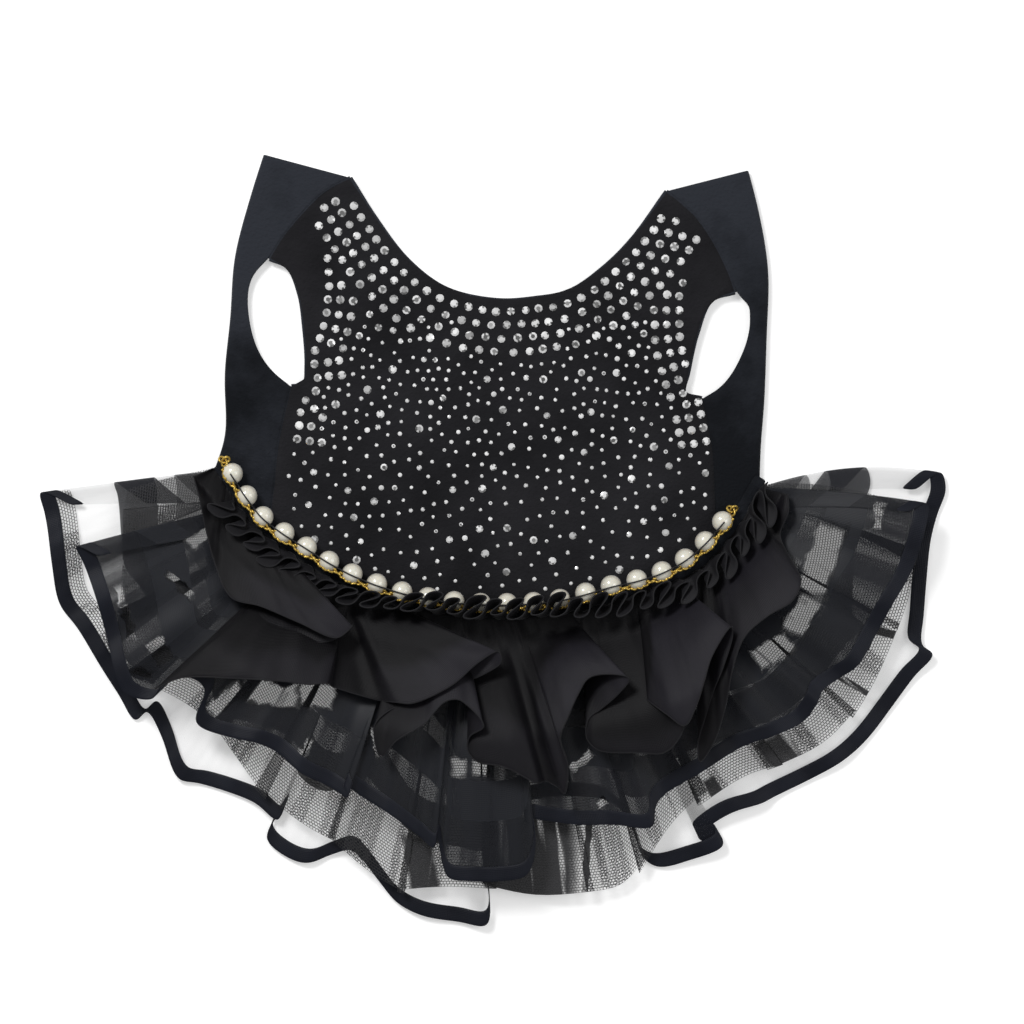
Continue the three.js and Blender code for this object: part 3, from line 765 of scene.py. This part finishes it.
# %% Long organza tier and its ribbon
LONG_HEM = [
    (70, 505, 1.6), (39, 492, 1.0), (43, 512, 0.3), (46, 528, 0.3), (51, 566, 1.6), (58, 604, 0.3),
    (76, 628, 0.3), (99, 666, 1.2), (118, 696, 0.3), (134, 721, 0.3), (146, 712, 1.6), (161, 738, 0.8),
    (177, 779, 1.6), (198, 784, 0.4), (225, 792, 0.4), (255, 804, 1.2), (277, 821, 2.6), (283, 808, 2.0),
    (273, 822, 0.9), (266, 840, 0.4), (286, 858, 0.4), (307, 864, 1.6), (330, 856, 0.4), (350, 851, 1.8),
    (362, 861, 0.6), (380, 884, 1.2), (397, 904, 0.4), (423, 917, 1.6), (459, 923, 0.6), (487, 926, 3.0),
    (489, 895, 1.6), (482, 850, 0.5), (500, 815, 0.3), (535, 800, 1.4), (575, 797, 0.3), (612, 803, 1.4),
    (636, 832, 0.6), (643, 858, 0.5), (659, 868, 0.5), (690, 861, 1.6), (723, 847, 3.2), (721, 837, 2.6),
    (704, 842, 1.2), (699, 838, 0.6), (714, 824, 2.4), (735, 812, 4.0), (762, 804, 3.0), (776, 797, 0.8),
    (809, 781, 0.4), (843, 762, 1.4), (868, 740, 0.3), (894, 706, 0.3), (916, 676, 1.0), (934, 655, 2.4),
    (923, 645, 1.2), (925, 616, 0.3), (928, 575, 1.4), (932, 540, 0.3), (939, 513, 0.3), (947, 490, 0.8),
    (942, 472, 1.2), (917, 490, 1.8),
]
long_surface = tier_surface(LONG_HEM, 0.5, 0.0, bows=(0.8, 6.5), turned=(0.07, 0.09))
COLUMNS_PER_ROW = 4
ORGANZA_ROWS = 14
ORGANZA_THICK = 0.2
NET_THICK = 0.15
RIBBON_WIDE = 6
RIBBON_THICK = 0.35
NET_STRIP_TO = 12.5
NET_STRIP_COLUMNS = 40
NET_STRIP_PART = (0.02, 0.135)
long_columns = (len(LONG_HEM) - 1) * COLUMNS_PER_ROW
tier("long_tier_cloth", long_surface, long_columns, ORGANZA_ROWS, long_organza, ORGANZA_THICK, "long_tier",
     "organza")
hem_band("long_ribbon", long_surface, long_columns, 0, RIBBON_WIDE, RIBBON_THICK,
         hem_ribbon, "ribbon", node="long_hem_ribbon")
hem_band("left_net_strip", long_surface, NET_STRIP_COLUMNS, RIBBON_WIDE,
         NET_STRIP_TO, NET_THICK, black_net, "net", part=NET_STRIP_PART)

# %% [markdown]
# ### The net tier
#
# Stiff black net fills out the skirt. Its hem is cut and not sewn. It is gathered so tightly that
# it falls in narrow pleats, and where three layers of a pleat lie on each other the net looks
# darker, which shows as strips. The strips come from the same kind of hem table, with each pleat
# turning back by an amount that a seeded choice makes uneven.

# %% Net tier
NET_HEM = [
    (124, 490), (124, 540), (118, 590), (112, 640), (124, 676), (142, 690), (161, 685), (179, 698),
    (202, 714), (226, 738), (244, 766), (262, 797), (300, 822), (345, 850), (382, 884), (410, 892),
    (440, 890), (486, 883), (513, 893), (546, 895), (588, 890), (636, 880), (646, 852), (662, 828),
    (690, 812), (712, 790), (752, 774), (806, 757), (832, 734), (867, 700), (887, 654), (905, 611),
    (912, 584), (920, 556), (923, 512),
]
NET_PLEATS = 15
NET_LOW = 0.2  # how high the net lies between its pleats
NET_HIGH = 1.4
NET_ROWS = 12
random.seed(5)


def pleated(rows, pleats, lift):
    """Hem rows for a line with pleats of uneven width and place that turn back and lie on each other."""
    line = Line([spot(across, down) for across, down in rows])
    made = []
    for i in range(pleats):
        back = random.choice((0.12, 0.25, 0.5))
        middle = random.uniform(0.35, 0.65)
        for offset, high in ((0.0, NET_LOW), (middle + back / 2, lift), (middle - back / 2, lift / 2)):
            share = (i + offset) / pleats
            point = line.at(share) + line.outward(share) * random.uniform(-0.9, 0.9)
            made.append((*pixel_of(point), high))
    made.append((*pixel_of(line.at(1.0)), NET_LOW))
    return made


net_rows = pleated(NET_HEM, NET_PLEATS, NET_HIGH)
net_surface = tier_surface(net_rows, 1.8, 3.6, bows=(0.5, 4.0))
net_columns = (len(net_rows) - 1) * 3
tier("net_tier_cloth", net_surface, net_columns, NET_ROWS, black_net, NET_THICK, "net_tier", "net")

# %% [markdown]
# ### The middle organza tier
#
# The second organza tier is shorter and denser, with the same ribbon. It ripples more, so more of
# its rows turn back.

# %% Middle organza tier and its ribbon
MIDDLE_HEM = [
    (100, 556, 3.4), (77, 546, 2.4), (83, 560, 1.0), (88, 572, 0.5), (99, 604, 2.4), (108, 639, 0.5),
    (117, 675, 2.4), (126, 693, 0.5), (152, 699, 1.0), (162, 686, 3.4), (186, 676, 4.0), (206, 688, 3.0),
    (196, 722, 1.0), (231, 737, 0.5), (256, 742, 2.0), (278, 752, 0.5), (301, 772, 2.6), (330, 786, 0.8),
    (349, 797, 4.4), (344, 784, 3.0), (362, 796, 0.8), (388, 812, 3.0), (420, 836, 0.8), (434, 847, 3.8),
    (438, 838, 2.6), (447, 876, 1.0), (470, 880, 3.2), (500, 880, 3.4), (528, 873, 4.8), (535, 832, 3.6),
    (524, 818, 2.0), (545, 820, 0.8), (580, 824, 2.8), (615, 824, 0.8), (652, 826, 4.4), (655, 806, 3.0),
    (664, 794, 0.8), (702, 771, 2.6), (742, 746, 0.8), (776, 734, 3.0), (803, 721, 1.0), (816, 703, 4.0),
    (822, 690, 1.6), (840, 677, 1.0), (857, 665, 3.6), (877, 631, 0.8), (892, 603, 3.2), (909, 575, 0.8),
    (921, 540, 2.8), (927, 503, 1.0), (908, 512, 2.4),
]
middle_surface = tier_surface(MIDDLE_HEM, 3.3, 8.4, bows=(0.5, 2.0), seam=(0.065, 1.0), turned=(0.05, 0.05))
middle_columns = (len(MIDDLE_HEM) - 1) * COLUMNS_PER_ROW
tier("middle_tier_cloth", middle_surface, middle_columns, ORGANZA_ROWS, middle_organza, ORGANZA_THICK,
     "middle_tier", "organza")
hem_band("middle_ribbon", middle_surface, middle_columns, 0, RIBBON_WIDE, RIBBON_THICK,
         hem_ribbon, "ribbon", node="middle_hem_ribbon")

# %% [markdown]
# ### The satin tier
#
# The top tier is opaque satin in large folds that roll right over, so each row of its table also
# says where its thread starts on the waist seam, counted across the picture. A fold that stands up
# steeply from the seam and lies down outwards gives the ridges and the hollows, and the satin's
# colour is painted with their light and shade: dark in the hollows and beside the seam, light on
# the high crests.

# %% Satin tier
SATIN_ROWS = [
    (214, 193, 476, 1), (217, 200, 500, 3), (222, 206, 530, 2), (227, 216, 566, 1), (232, 232, 597, 4),
    (240, 262, 606, 8), (252, 300, 622, 11), (266, 338, 637, 13), (276, 353, 625, 12), (282, 332, 640, 8),
    (288, 280, 642, 5), (293, 215, 655, 3), (298, 157, 688, 1), (303, 182, 677, 4), (310, 235, 677, 6),
    (318, 285, 680, 8), (334, 310, 683, 9), (354, 328, 682, 9), (344, 334, 686, 3), (338, 352, 692, 1.5),
    (341, 378, 699, 2), (346, 397, 701, 8), (354, 412, 702, 10), (362, 434, 694, 12), (370, 455, 682, 14),
    (379, 478, 662, 14), (388, 498, 651, 14),
    (391, 501, 661, 12), (394, 485, 673, 9), (398, 440, 690, 6), (402, 386, 712, 4), (405, 375, 726, 3),
    (409, 382, 755, 4), (415, 397, 739, 6), (422, 425, 722, 8), (430, 437, 708, 10), (438, 446, 700, 11),
    (446, 458, 698, 12), (453, 468, 704, 12), (460, 484, 724, 11), (466, 470, 735, 6), (472, 468, 748, 4),
    (478, 476, 759, 5), (486, 505, 765, 7), (494, 537, 781, 7), (500, 545, 779, 3), (506, 557, 785, 4),
    (511, 564, 791, 7), (515, 567, 762, 9), (520, 560, 736, 10), (527, 568, 714, 12), (536, 578, 692, 13),
    (546, 588, 677, 14), (556, 605, 673, 14), (566, 628, 677, 14), (572, 618, 692, 10), (576, 600, 708, 6),
    (580, 588, 718, 4), (585, 586, 735, 3), (592, 597, 748, 5), (602, 640, 751, 6), (612, 662, 751, 7),
    (620, 676, 739, 7), (626, 682, 722, 6), (632, 660, 706, 4), (638, 646, 698, 6), (644, 665, 712, 11),
    (650, 683, 723, 14), (656, 694, 704, 14), (662, 702, 680, 14), (668, 710, 655, 14), (674, 729, 626, 14),
    (678, 731, 634, 11), (682, 722, 665, 7), (686, 712, 690, 4), (690, 704, 716, 3), (694, 697, 742, 2),
    (698, 699, 760, 2), (702, 712, 742, 3), (708, 724, 705, 4), (714, 731, 668, 6), (720, 743, 636, 9),
    (727, 766, 615, 11), (734, 790, 600, 11), (740, 799, 580, 9), (745, 789, 558, 5), (750, 780, 535, 3),
    (755, 788, 512, 5), (760, 788, 494, 2),
]
seam_across = [waist.at(i / 400).x / MM_PER_PIXEL + ORIGIN_PIXEL[0] for i in range(401)]
satin_roots = [float(np.interp(row[0], seam_across, np.linspace(0, 1, 401))) for row in SATIN_ROWS]
satin_surface = tier_surface([row[1:] for row in SATIN_ROWS], 5.0, 14.0, early=2.2, roots=satin_roots)
SATIN_THICK = 0.3
SATIN_ROWS_DOWN = 16
HIGHEST_FOLD = 14
PAINTED_SHADE_FADES_OVER = 0.14
# Where along its thread each fold comes out of the painted shade beside the seam
SHADE_END_ROOTS = [214, 222, 284, 292, 342, 346, 396, 402, 474, 480, 506, 510, 578, 582, 640, 645, 690, 720]
SHADE_END_SHARES = [0.3, 0.6, 0.6, 0.62, 0.7, 0.6, 0.7, 0.55, 0.6, 0.55, 0.55, 0.4, 0.4, 0.8, 0.8, 0.14, 0.2, 0.2]


def satin_painted_shade(u, v):
    """How light the satin's painted shade is there, from 0 in the hollows and beside the seam to 1 on the
    high crests.
    """
    row = u * (len(SATIN_ROWS) - 1)
    i = min(int(row), len(SATIN_ROWS) - 2)
    lift = SATIN_ROWS[i][3] + (SATIN_ROWS[i + 1][3] - SATIN_ROWS[i][3]) * (row - i)
    root = SATIN_ROWS[i][0] + (SATIN_ROWS[i + 1][0] - SATIN_ROWS[i][0]) * (row - i)
    shade_end = float(np.interp(root, SHADE_END_ROOTS, SHADE_END_SHARES))
    return min(lift / HIGHEST_FOLD, 1.0) * min(max((v - shade_end) / PAINTED_SHADE_FADES_OVER, 0.0), 1.0)


satin_columns = (len(SATIN_ROWS) - 1) * COLUMNS_PER_ROW
tier("satin_tier_cloth", satin_surface, satin_columns, SATIN_ROWS_DOWN, painted_shade_satin, SATIN_THICK,
     "satin_tier", "satin", satin_painted_shade)

# %% [markdown]
# ## The frill
#
# A narrow strip of the same cloth is gathered into tight loops along the seam and finished with a
# rolled hem. Seen from above, the rolled hem draws a row of slanted loops. The strip goes from the
# seam up to that line, and the hem is a thin round cord along it.

# %% Frill and its rolled hem
FRILL_LOOPS = 29
FRILL_FIRST = 0.05
FRILL_LAST = 0.99
FRILL_SEWN_OUT = 1.0
FRILL_MIDDLE_OUT = 6.2
FRILL_REACH = 3.9
FRILL_SWING = 1.7
FRILL_END_FULLER = 0.35
FRILL_SLANT = 0.85
FRILL_FOOT_SPREAD = 0.15
FRILL_FOOT = 6.4
FRILL_TOP = 11.5
OVER_PEARLS_IN = 9.6
OVER_PEARLS_UP = 6.0
FRILL_THICK = 0.25
FRILL_SAMPLES = 2000
COLUMNS_PER_LOOP = 16


def over_pearls(share):
    """How far the frill lies over the pearls there, from 0 to 1."""
    return float(np.interp(share, [0.22, 0.33, 0.4, 0.6, 0.68, 0.8], [0, 0.5, 1, 1, 0.5, 0]))


def frill_place(u, v):
    """The place at u along the frill's rolled hem and v from the seam to that hem."""
    turn = u * FRILL_LOOPS * 2 * math.pi
    uneven = 1 + 0.2 * math.sin(turn / 2 + 3 * math.sin(u * 9)) + 0.1 * math.sin(turn / 3.1)
    uneven *= 1 + FRILL_END_FULLER * float(np.interp(u, [0.9, 0.96], [0, 1]))
    out = -FRILL_REACH * uneven * math.cos(turn)
    aside = FRILL_SWING * uneven * math.sin(2 * turn) - FRILL_SLANT * out
    spread = FRILL_FOOT_SPREAD + (1 - FRILL_FOOT_SPREAD) * v
    share = FRILL_FIRST + (FRILL_LAST - FRILL_FIRST) * u
    over = over_pearls(share)
    middle = FRILL_SEWN_OUT + (FRILL_MIDDLE_OUT - FRILL_SEWN_OUT - over * OVER_PEARLS_IN) * v
    point = waist.at(share) + waist.outward(share) * (middle + out * spread)
    point += waist.along(share) * aside * spread
    point.z = FRILL_FOOT + (FRILL_TOP - FRILL_FOOT + over * OVER_PEARLS_UP) * v + 0.12 * out
    return point


frill_mesh = cloth_grid(FRILL_LOOPS * COLUMNS_PER_LOOP, 4, frill_place)
frill = piece_from(frill_mesh, "frill_cloth", frill_cloth, ["waist_frill"], "frill_satin")
frill_width = hem_length(frill_place, FRILL_SAMPLES)
frill_depth = area_of(frill) / (frill_width * MM) / MM
sheet_of(frill, FRILL_THICK, frill_width, round(frill_depth, 1))

# %% Round cords


def round_cord(name, points, radius, finish, slot):
    """A thin round cord along points in mm, as a mesh with its UV map along it."""
    curve = bpy.data.curves.new(name, "CURVE")
    curve.dimensions = "3D"
    curve.bevel_depth = radius * MM
    curve.bevel_resolution = 1
    curve.use_fill_caps = True
    line = curve.splines.new("POLY")
    line.points.add(len(points) - 1)
    for dot, point in zip(line.points, points):
        dot.co = (*(point * MM), 1.0)
    made = add_object(name + "_curve", curve)
    graph = bpy.context.evaluated_depsgraph_get()
    data = bpy.data.meshes.new_from_object(made.evaluated_get(graph))
    bpy.data.objects.remove(made)
    data.name = name
    data.materials.clear()
    for polygon in data.polygons:
        polygon.use_smooth = True
    return as_piece(name, data, finish, slot=slot)


for name, place, steps, radius, slot in (("frill_rolled_edge", frill_place, 1600, 0.3, "frill_satin"),
                                         ("satin_rolled_edge", satin_surface, 1200, 0.28, "satin")):
    edge_points = [place(i / steps, 1.0) for i in range(steps + 1)]
    round_cord(name, edge_points, radius, rolled_edge, slot)

# %% Seams and bound edges of the bodice
for name, line, steps, radius, height in (
        ("left_shoulder_seam", left_shoulder, 60, 0.8, 3.1),
        ("right_shoulder_seam", right_shoulder, 60, 0.8, 3.1),
        ("left_side_seam", left_seam, 60, 0.55, 3.4),
        ("right_side_seam", right_seam, 60, 0.55, 3.4),
        ("neck_binding", neckline, 80, 0.85, 3.15),
        ("left_armhole_binding", left_armhole, 80, 0.85, 3.15),
        ("right_armhole_binding", right_armhole, 80, 0.85, 3.15)):
    points = [line.at(i / steps) + Vector((0, 0, height)) for i in range(steps + 1)]
    round_cord(name, points, radius, side_velvet, "side_velvet")

# %% Tape along the waist, under the chain
TAPE_WIDTH = 5.0
TAPE_OUT = 1.0
TAPE_HEIGHT = 4.7
TAPE_BEYOND = 1.6
TAPE_CROWN = 0.5
TAPE_THICK = 0.5


def tape_place(u, v):
    """The place at u along the waist and v across the tape."""
    crown = TAPE_CROWN * math.sin(math.pi * v)
    beyond = waist.along(u) * TAPE_BEYOND * float(np.interp(u, [0.98, 1.0], [0, 1]))
    across = waist.outward(u) * (TAPE_OUT - TAPE_WIDTH * (1 - v))
    return waist.at(u) + beyond + across + Vector((0, 0, TAPE_HEIGHT + crown))


tape = piece_from(cloth_grid(90, 4, tape_place), "waist_tape", side_velvet, slot="side_velvet")
sheet_of(tape, TAPE_THICK, waist.length, 2 * TAPE_WIDTH)

# %% [markdown]
# ## The pearl chain
#
# The pearls are glossy ivory beads. Each is an arc spun round its bore, with a coat over a slightly
# rough base, with painted shade that darkens it towards its rim. Two gold threads wind round each
# other between the beads and round them, and a fine black thread sews the chain down along its middle.

# %% Pearl and thread finishes
pearl_finish, pearl_shader = plain_finish("pearl_ivory", (0.7, 0.65, 0.56), Roughness=0.22, Coat_Weight=0.8,
                                          Coat_Roughness=0.06, Subsurface_Weight=0.15,
                                          Sheen_Weight=0.3)
pearl_shader.inputs["Subsurface Radius"].default_value = (0.002, 0.0015, 0.001)
# Painted shade: the pearls' colour darkens towards the rim, where their surface turns away from the view.
painted_rim_shade = add_node(pearl_finish, "ShaderNodeLayerWeight", Blend=0.35).outputs["Facing"]
pearl_colour_and_rim_shade = colour_ramp(pearl_finish, painted_rim_shade, [(0.0, (0.67, 0.65, 0.56)), (1.0, (0.26, 0.22, 0.17))])
join(pearl_finish, pearl_colour_and_rim_shade, pearl_shader.inputs["Base Color"])

gold_finish, gold_shader = plain_finish("gold_thread", (0.52, 0.36, 0.08), Roughness=0.36, Metallic=0.85)
gold_noise = noise_over(gold_finish, coordinates(gold_finish, "Object"), Scale=1400.0, Detail=2.0)
join(gold_finish, bump_of(gold_finish, gold_noise, 0.7, 0.0003), gold_shader.inputs["Normal"])
stitch_finish, _ = plain_finish("black_stitch", (0.012, 0.012, 0.014), Roughness=0.7)

# %% Pearls
pearl_nodes = sorted(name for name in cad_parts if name.startswith("pearl_"))
PEARL_RADIUS = 4.2
BORE = 0.7
ARC_STEPS = 16
SPIN_STEPS = 24


def centre_of(node):
    low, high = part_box(node)
    return (low + high) / 2 / MM


pearl_centres = [centre_of(node) for node in pearl_nodes]
chain = Line(pearl_centres)
bead_span = len(pearl_nodes) - 1
open_angle = math.asin(BORE / PEARL_RADIUS)
for number, node in enumerate(pearl_nodes):
    mesh = bmesh.new()
    arc = []
    for i in range(ARC_STEPS + 1):
        angle = open_angle + (math.pi - 2 * open_angle) * i / ARC_STEPS
        arc.append(mesh.verts.new((PEARL_RADIUS * math.sin(angle), 0, PEARL_RADIUS * math.cos(angle))))
    edges = [mesh.edges.new(pair) for pair in zip(arc, arc[1:])]
    bmesh.ops.spin(mesh, geom=arc + edges, cent=(0, 0, 0), axis=(0, 0, 1), angle=2 * math.pi,
                   steps=SPIN_STEPS, use_merge=True)
    bmesh.ops.holes_fill(mesh, edges=mesh.edges)
    bmesh.ops.recalc_face_normals(mesh, faces=mesh.faces)
    turn = chain.along(number / bead_span).to_track_quat("Z", "Y").to_matrix().to_4x4()
    bmesh.ops.transform(mesh, matrix=Matrix.Translation(pearl_centres[number]) @ turn, verts=mesh.verts)
    piece_from(mesh, node + "_bead", pearl_finish, [node], "pearl")
print("pearls:", len(pearl_nodes))

# %% Gold and black threads
THREAD_RADIUS = 0.5
THREAD_BEYOND = 5.5
THREAD_HEIGHT = 2.6
THREAD_OUT = 2.2
SWING = 1.3
DIP = 0.96
SAMPLES_PER_BEAD = 48
TWISTS_PER_BEAD = 4.5
TWIST_WIDE = 0.22
TWIST_HIGH = 0.3


def chain_point(beads, side):
    """A point on a thread that swings out beside each bead and crosses between them."""
    share = beads / bead_span
    swing = side * SWING * math.cos(math.pi * beads)
    along = chain.at(share)
    if beads < 0:
        along -= chain.along(0) * (-beads) * THREAD_BEYOND
    if share > 1:
        along += chain.along(1) * (beads - bead_span) * THREAD_BEYOND
    out = chain.outward(min(max(share, 0), 1))
    dip = DIP * abs(math.sin(math.pi * beads))
    return along + out * (swing + THREAD_OUT) + Vector((0, 0, THREAD_HEIGHT - dip))


def beads_along(beyond):
    """Places along the chain, counted in beads, that start and end so far beyond its end beads."""
    samples = bead_span * SAMPLES_PER_BEAD
    return [-beyond + (bead_span + 2 * beyond) * i / samples for i in range(samples + 1)]


for name, side in (("gold_thread_a", 1), ("gold_thread_b", -1)):
    points = []
    for beads in beads_along(0.6):
        twist = beads * 2 * TWISTS_PER_BEAD * math.pi
        around = Vector((TWIST_WIDE * math.cos(twist), TWIST_WIDE * math.sin(twist),
                         TWIST_HIGH * math.sin(twist + side)))
        points.append(chain_point(beads, side) + around)
    piece = round_cord(name, points, THREAD_RADIUS, gold_finish, "gold_thread")
    if side == 1:
        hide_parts("chain_thread")

KNOT_BEYOND = 6.0
KNOT_SIZE = 0.75
KNOT_STEPS = 120
for name, share, beyond in (("left_gold_knot", -0.02, -KNOT_BEYOND), ("right_gold_knot", 1.02, KNOT_BEYOND)):
    centre = chain.at(share) + chain.along(min(max(share, 0), 1)) * beyond
    points = []
    for i in range(KNOT_STEPS + 1):
        angle = i / KNOT_STEPS * 2 * math.pi
        knot = Vector((math.sin(angle) + 2 * math.sin(2 * angle), math.cos(angle) - 2 * math.cos(2 * angle),
                       -math.sin(3 * angle)))
        points.append(centre + knot * KNOT_SIZE)
    round_cord(name, points, THREAD_RADIUS, gold_finish, "gold_thread")

STITCH_RADIUS = 0.34
STITCH_UP = 0.5
STITCH_OUT = 0.6
black_points = []
for beads in beads_along(0.3):
    share = min(max(beads / bead_span, 0), 1)
    over = PEARL_RADIUS * 0.92 * abs(math.cos(math.pi * beads)) ** 0.7
    beside = chain.outward(share) * STITCH_OUT
    black_points.append(chain.at(share) + beside + Vector((0, 0, over + STITCH_UP)))
round_cord("black_sewing_thread", black_points, STITCH_RADIUS, stitch_finish, "frill_satin")

# %% [markdown]
# ## The glass stones
#
# About six hundred and forty round hot-fix stones cover the back panel. They are flat-backed glass with
# foil, so each is a low cut cone with a flat table, with bright glints and dark reflections painted on
# its facets. Four rows of large ones follow the neckline, three more run down each side, and more large
# ones fill the shoulders. Small ones are scattered over the rest, closer together near the top. The
# scatter tries seeded random places and keeps those far enough from the stones already set.

# %% The field of stones
random.seed(11)
ROW_INSET = 4.6
STONE_PITCH = 5.4
LARGE = 1.7
FIELD_LEFT = [(342, 195), (314, 216), (325, 240), (328, 300), (321, 334), (314, 352), (316, 388), (302, 404),
              (297, 440), (287, 488), (300, 524), (328, 551), (378, 573), (426, 588)]
FIELD_RIGHT = [(664, 212), (677, 220), (701, 241), (688, 265), (680, 296), (680, 330), (685, 360), (697, 396),
               (706, 440), (711, 490), (700, 520), (672, 553), (645, 569), (590, 588)]


def neck_row(row, share):
    """The place at a share along a row of stones beside the neckline."""
    return neckline.at(share) + neckline.outward(share) * (ROW_INSET + row * STONE_PITCH)


left_edge = Line([spot(*place) for place in FIELD_LEFT])
right_edge = Line([spot(*place) for place in FIELD_RIGHT])
eightieths = [i / 80 for i in range(81)]
field = [neck_row(0, 0.04 + 0.92 * share) for share in eightieths]
field += [right_edge.at(share) for share in eightieths]
field += [left_edge.at(1 - share) for share in eightieths]
corners = np.array([(p.x, p.y) for p in field])
next_corners = np.roll(corners, -1, axis=0)
sides = next_corners - corners


def in_field(x, y, slack=0.5):
    """Whether a place is in the field of stones or just outside its edge."""
    crossed = (corners[:, 1] > y) != (next_corners[:, 1] > y)
    rise = np.where(crossed, sides[:, 1], 1.0)
    crossed &= x < sides[:, 0] * (y - corners[:, 1]) / rise + corners[:, 0]
    along = ((x - corners[:, 0]) * sides[:, 0] + (y - corners[:, 1]) * sides[:, 1]) / np.maximum(
        (sides ** 2).sum(axis=1), 1e-9)
    along = np.clip(along, 0, 1)
    near = np.hypot(corners[:, 0] + along * sides[:, 0] - x, corners[:, 1] + along * sides[:, 1] - y).min()
    return crossed.sum() % 2 == 1 or near < slack


stones = np.empty((0, 3))  # x, y and radius


def set_stone(x, y, radius, apart):
    """Sets a stone in the field if none is nearer than this to its middle."""
    global stones
    if len(stones) and np.hypot(stones[:, 0] - x, stones[:, 1] - y).min() < apart:
        return
    if in_field(x, y):
        stones = np.vstack([stones, (x, y, radius)])


# %% Rows of large stones
ROW_APART = 4.5
ROW_JITTER = 0.25


def stone_row(place, length):
    """Large stones along a row, each a little off its place."""
    for i in range(int(length / STONE_PITCH) + 1):
        point = place(i * STONE_PITCH / length)
        x = point.x + random.uniform(-ROW_JITTER, ROW_JITTER)
        y = point.y + random.uniform(-ROW_JITTER, ROW_JITTER)
        set_stone(x, y, LARGE * random.uniform(0.92, 1.06), ROW_APART)


NECK_ROWS = 4
SIDE_ROWS = 3
SIDE_ROWS_END = 0.56
SIDE_PITCH = 5


def side_row(edge, side, row, share):
    """The place at a share along a row of stones inside one side of the field."""
    down = share * SIDE_ROWS_END
    return edge.at(down) + edge.outward(down) * side * row * SIDE_PITCH


for row in range(NECK_ROWS):
    stone_row(lambda share: neck_row(row, 0.03 + 0.94 * share), neckline.length * (0.94 + 0.02 * row))
for row in range(SIDE_ROWS):
    for edge, side in ((left_edge, -1), (right_edge, 1)):
        stone_row(lambda share: side_row(edge, side, row, share), edge.length * SIDE_ROWS_END)
print("large stones in rows:", len(stones))

# %% Scattered stones
SHOULDER_LINE = spot(0, 336).y
SCATTER_TOP = spot(0, 380).y
SCATTER_FOOT = spot(0, 600).y
SMALL = 0.8
SHOULDER_APART = 4.9
LARGE_APART = 9.0
SMALL_APART = 3.75
APART_MORE = 1.9  # how much wider the small stones stand at the foot of the field
LARGE_AMONG_SMALL = 0.06
ACROSS = (-84, 88)
FOOT = -56


def try_stones(tries, across, down, sizes, apart):
    """Large stones at random places between these limits in mm."""
    for _ in range(tries):
        x = random.uniform(*across)
        y = random.uniform(*down)
        set_stone(x, y, LARGE * random.uniform(*sizes), apart)


try_stones(2500, (-76, 84), (SHOULDER_LINE, 108), (0.8, 0.98), SHOULDER_APART)
try_stones(140, ACROSS, (FOOT, SHOULDER_LINE), (0.8, 1.0), LARGE_APART)
for _ in range(16000):
    x = random.uniform(*ACROSS)
    y = random.uniform(FOOT, SHOULDER_LINE + 6)
    down = min(max((SCATTER_TOP - y) / (SCATTER_TOP - SCATTER_FOOT), 0), 1)
    sizes = (1.3, 1.5) if random.random() < LARGE_AMONG_SMALL else (0.85, 1.12)
    set_stone(x, y, SMALL * random.uniform(*sizes), SMALL_APART + APART_MORE * down)
print("stones in all:", len(stones))

# %% Cut stones on the velvet
foil_glass, foil_shader = plain_finish("foil_glass", (0.95, 0.95, 0.97), Roughness=0.12, Metallic=0.25,
                                       Coat_Weight=0.6, Coat_Roughness=0.04)
# The stones' colour comes from glints and dark reflections painted on each facet below.
painted_facet_reflections = add_node(foil_glass, "ShaderNodeAttribute", {"attribute_name": "painted_facet_reflections"})
join(foil_glass, painted_facet_reflections.outputs["Color"], foil_shader.inputs["Base Color"])

FACETS = 9
CROWN_HEIGHT = 0.32
TABLE = 0.52
LEAN = 0.14
RAISED = 0.08
LARGE_FROM = 1.2
graph = bpy.context.evaluated_depsgraph_get()
back_tree = BVHTree.FromObject(back, graph)
stone_mesh = bmesh.new()
facet_reflection = stone_mesh.loops.layers.float_color.new("painted_facet_reflections")
for x, y, radius in stones:
    hit, normal, _, _ = back_tree.ray_cast(Vector((x, y, 60)) * MM, Vector((0, 0, -1)))
    if hit is None:
        continue
    high = radius * CROWN_HEIGHT
    upright = normal.to_track_quat("Z", "Y").to_matrix().to_4x4()
    turn = upright @ Matrix.Rotation(random.uniform(0, 6.28), 4, "Z")
    lean_x = Matrix.Rotation(random.uniform(-LEAN, LEAN), 4, "X")
    lean_y = Matrix.Rotation(random.uniform(-LEAN, LEAN), 4, "Y")
    middle = Matrix.Translation(hit / MM + normal * (high / 2 + radius * RAISED)) @ turn @ (lean_x @ lean_y)
    made = bmesh.ops.create_cone(stone_mesh, cap_ends=True, segments=FACETS, radius1=radius,
                                 radius2=radius * TABLE, depth=high, matrix=middle)
    # Painted reflections: large stones get more dark facets, and each stone's glints are painted brighter or
    # dimmer.
    dark_reflection_share, dimmest_glint = (0.32, 0.5) if radius > LARGE_FROM else (0.12, 0.72)
    glint_strength = random.uniform(dimmest_glint, 1.0)
    # Each facet is painted either a dark reflection or a bright glint.
    for face in dict.fromkeys(face for vert in made["verts"] for face in vert.link_faces):
        dark = random.random() < dark_reflection_share
        painted_facet_light = random.uniform(0.08, 0.35) if dark else random.uniform(0.8, 1.0) * glint_strength
        for corner in face.loops:
            corner[facet_reflection] = (painted_facet_light, painted_facet_light, painted_facet_light, 1.0)
piece_from(stone_mesh, "glass_stones", foil_glass, slot="pearl", smooth=False)
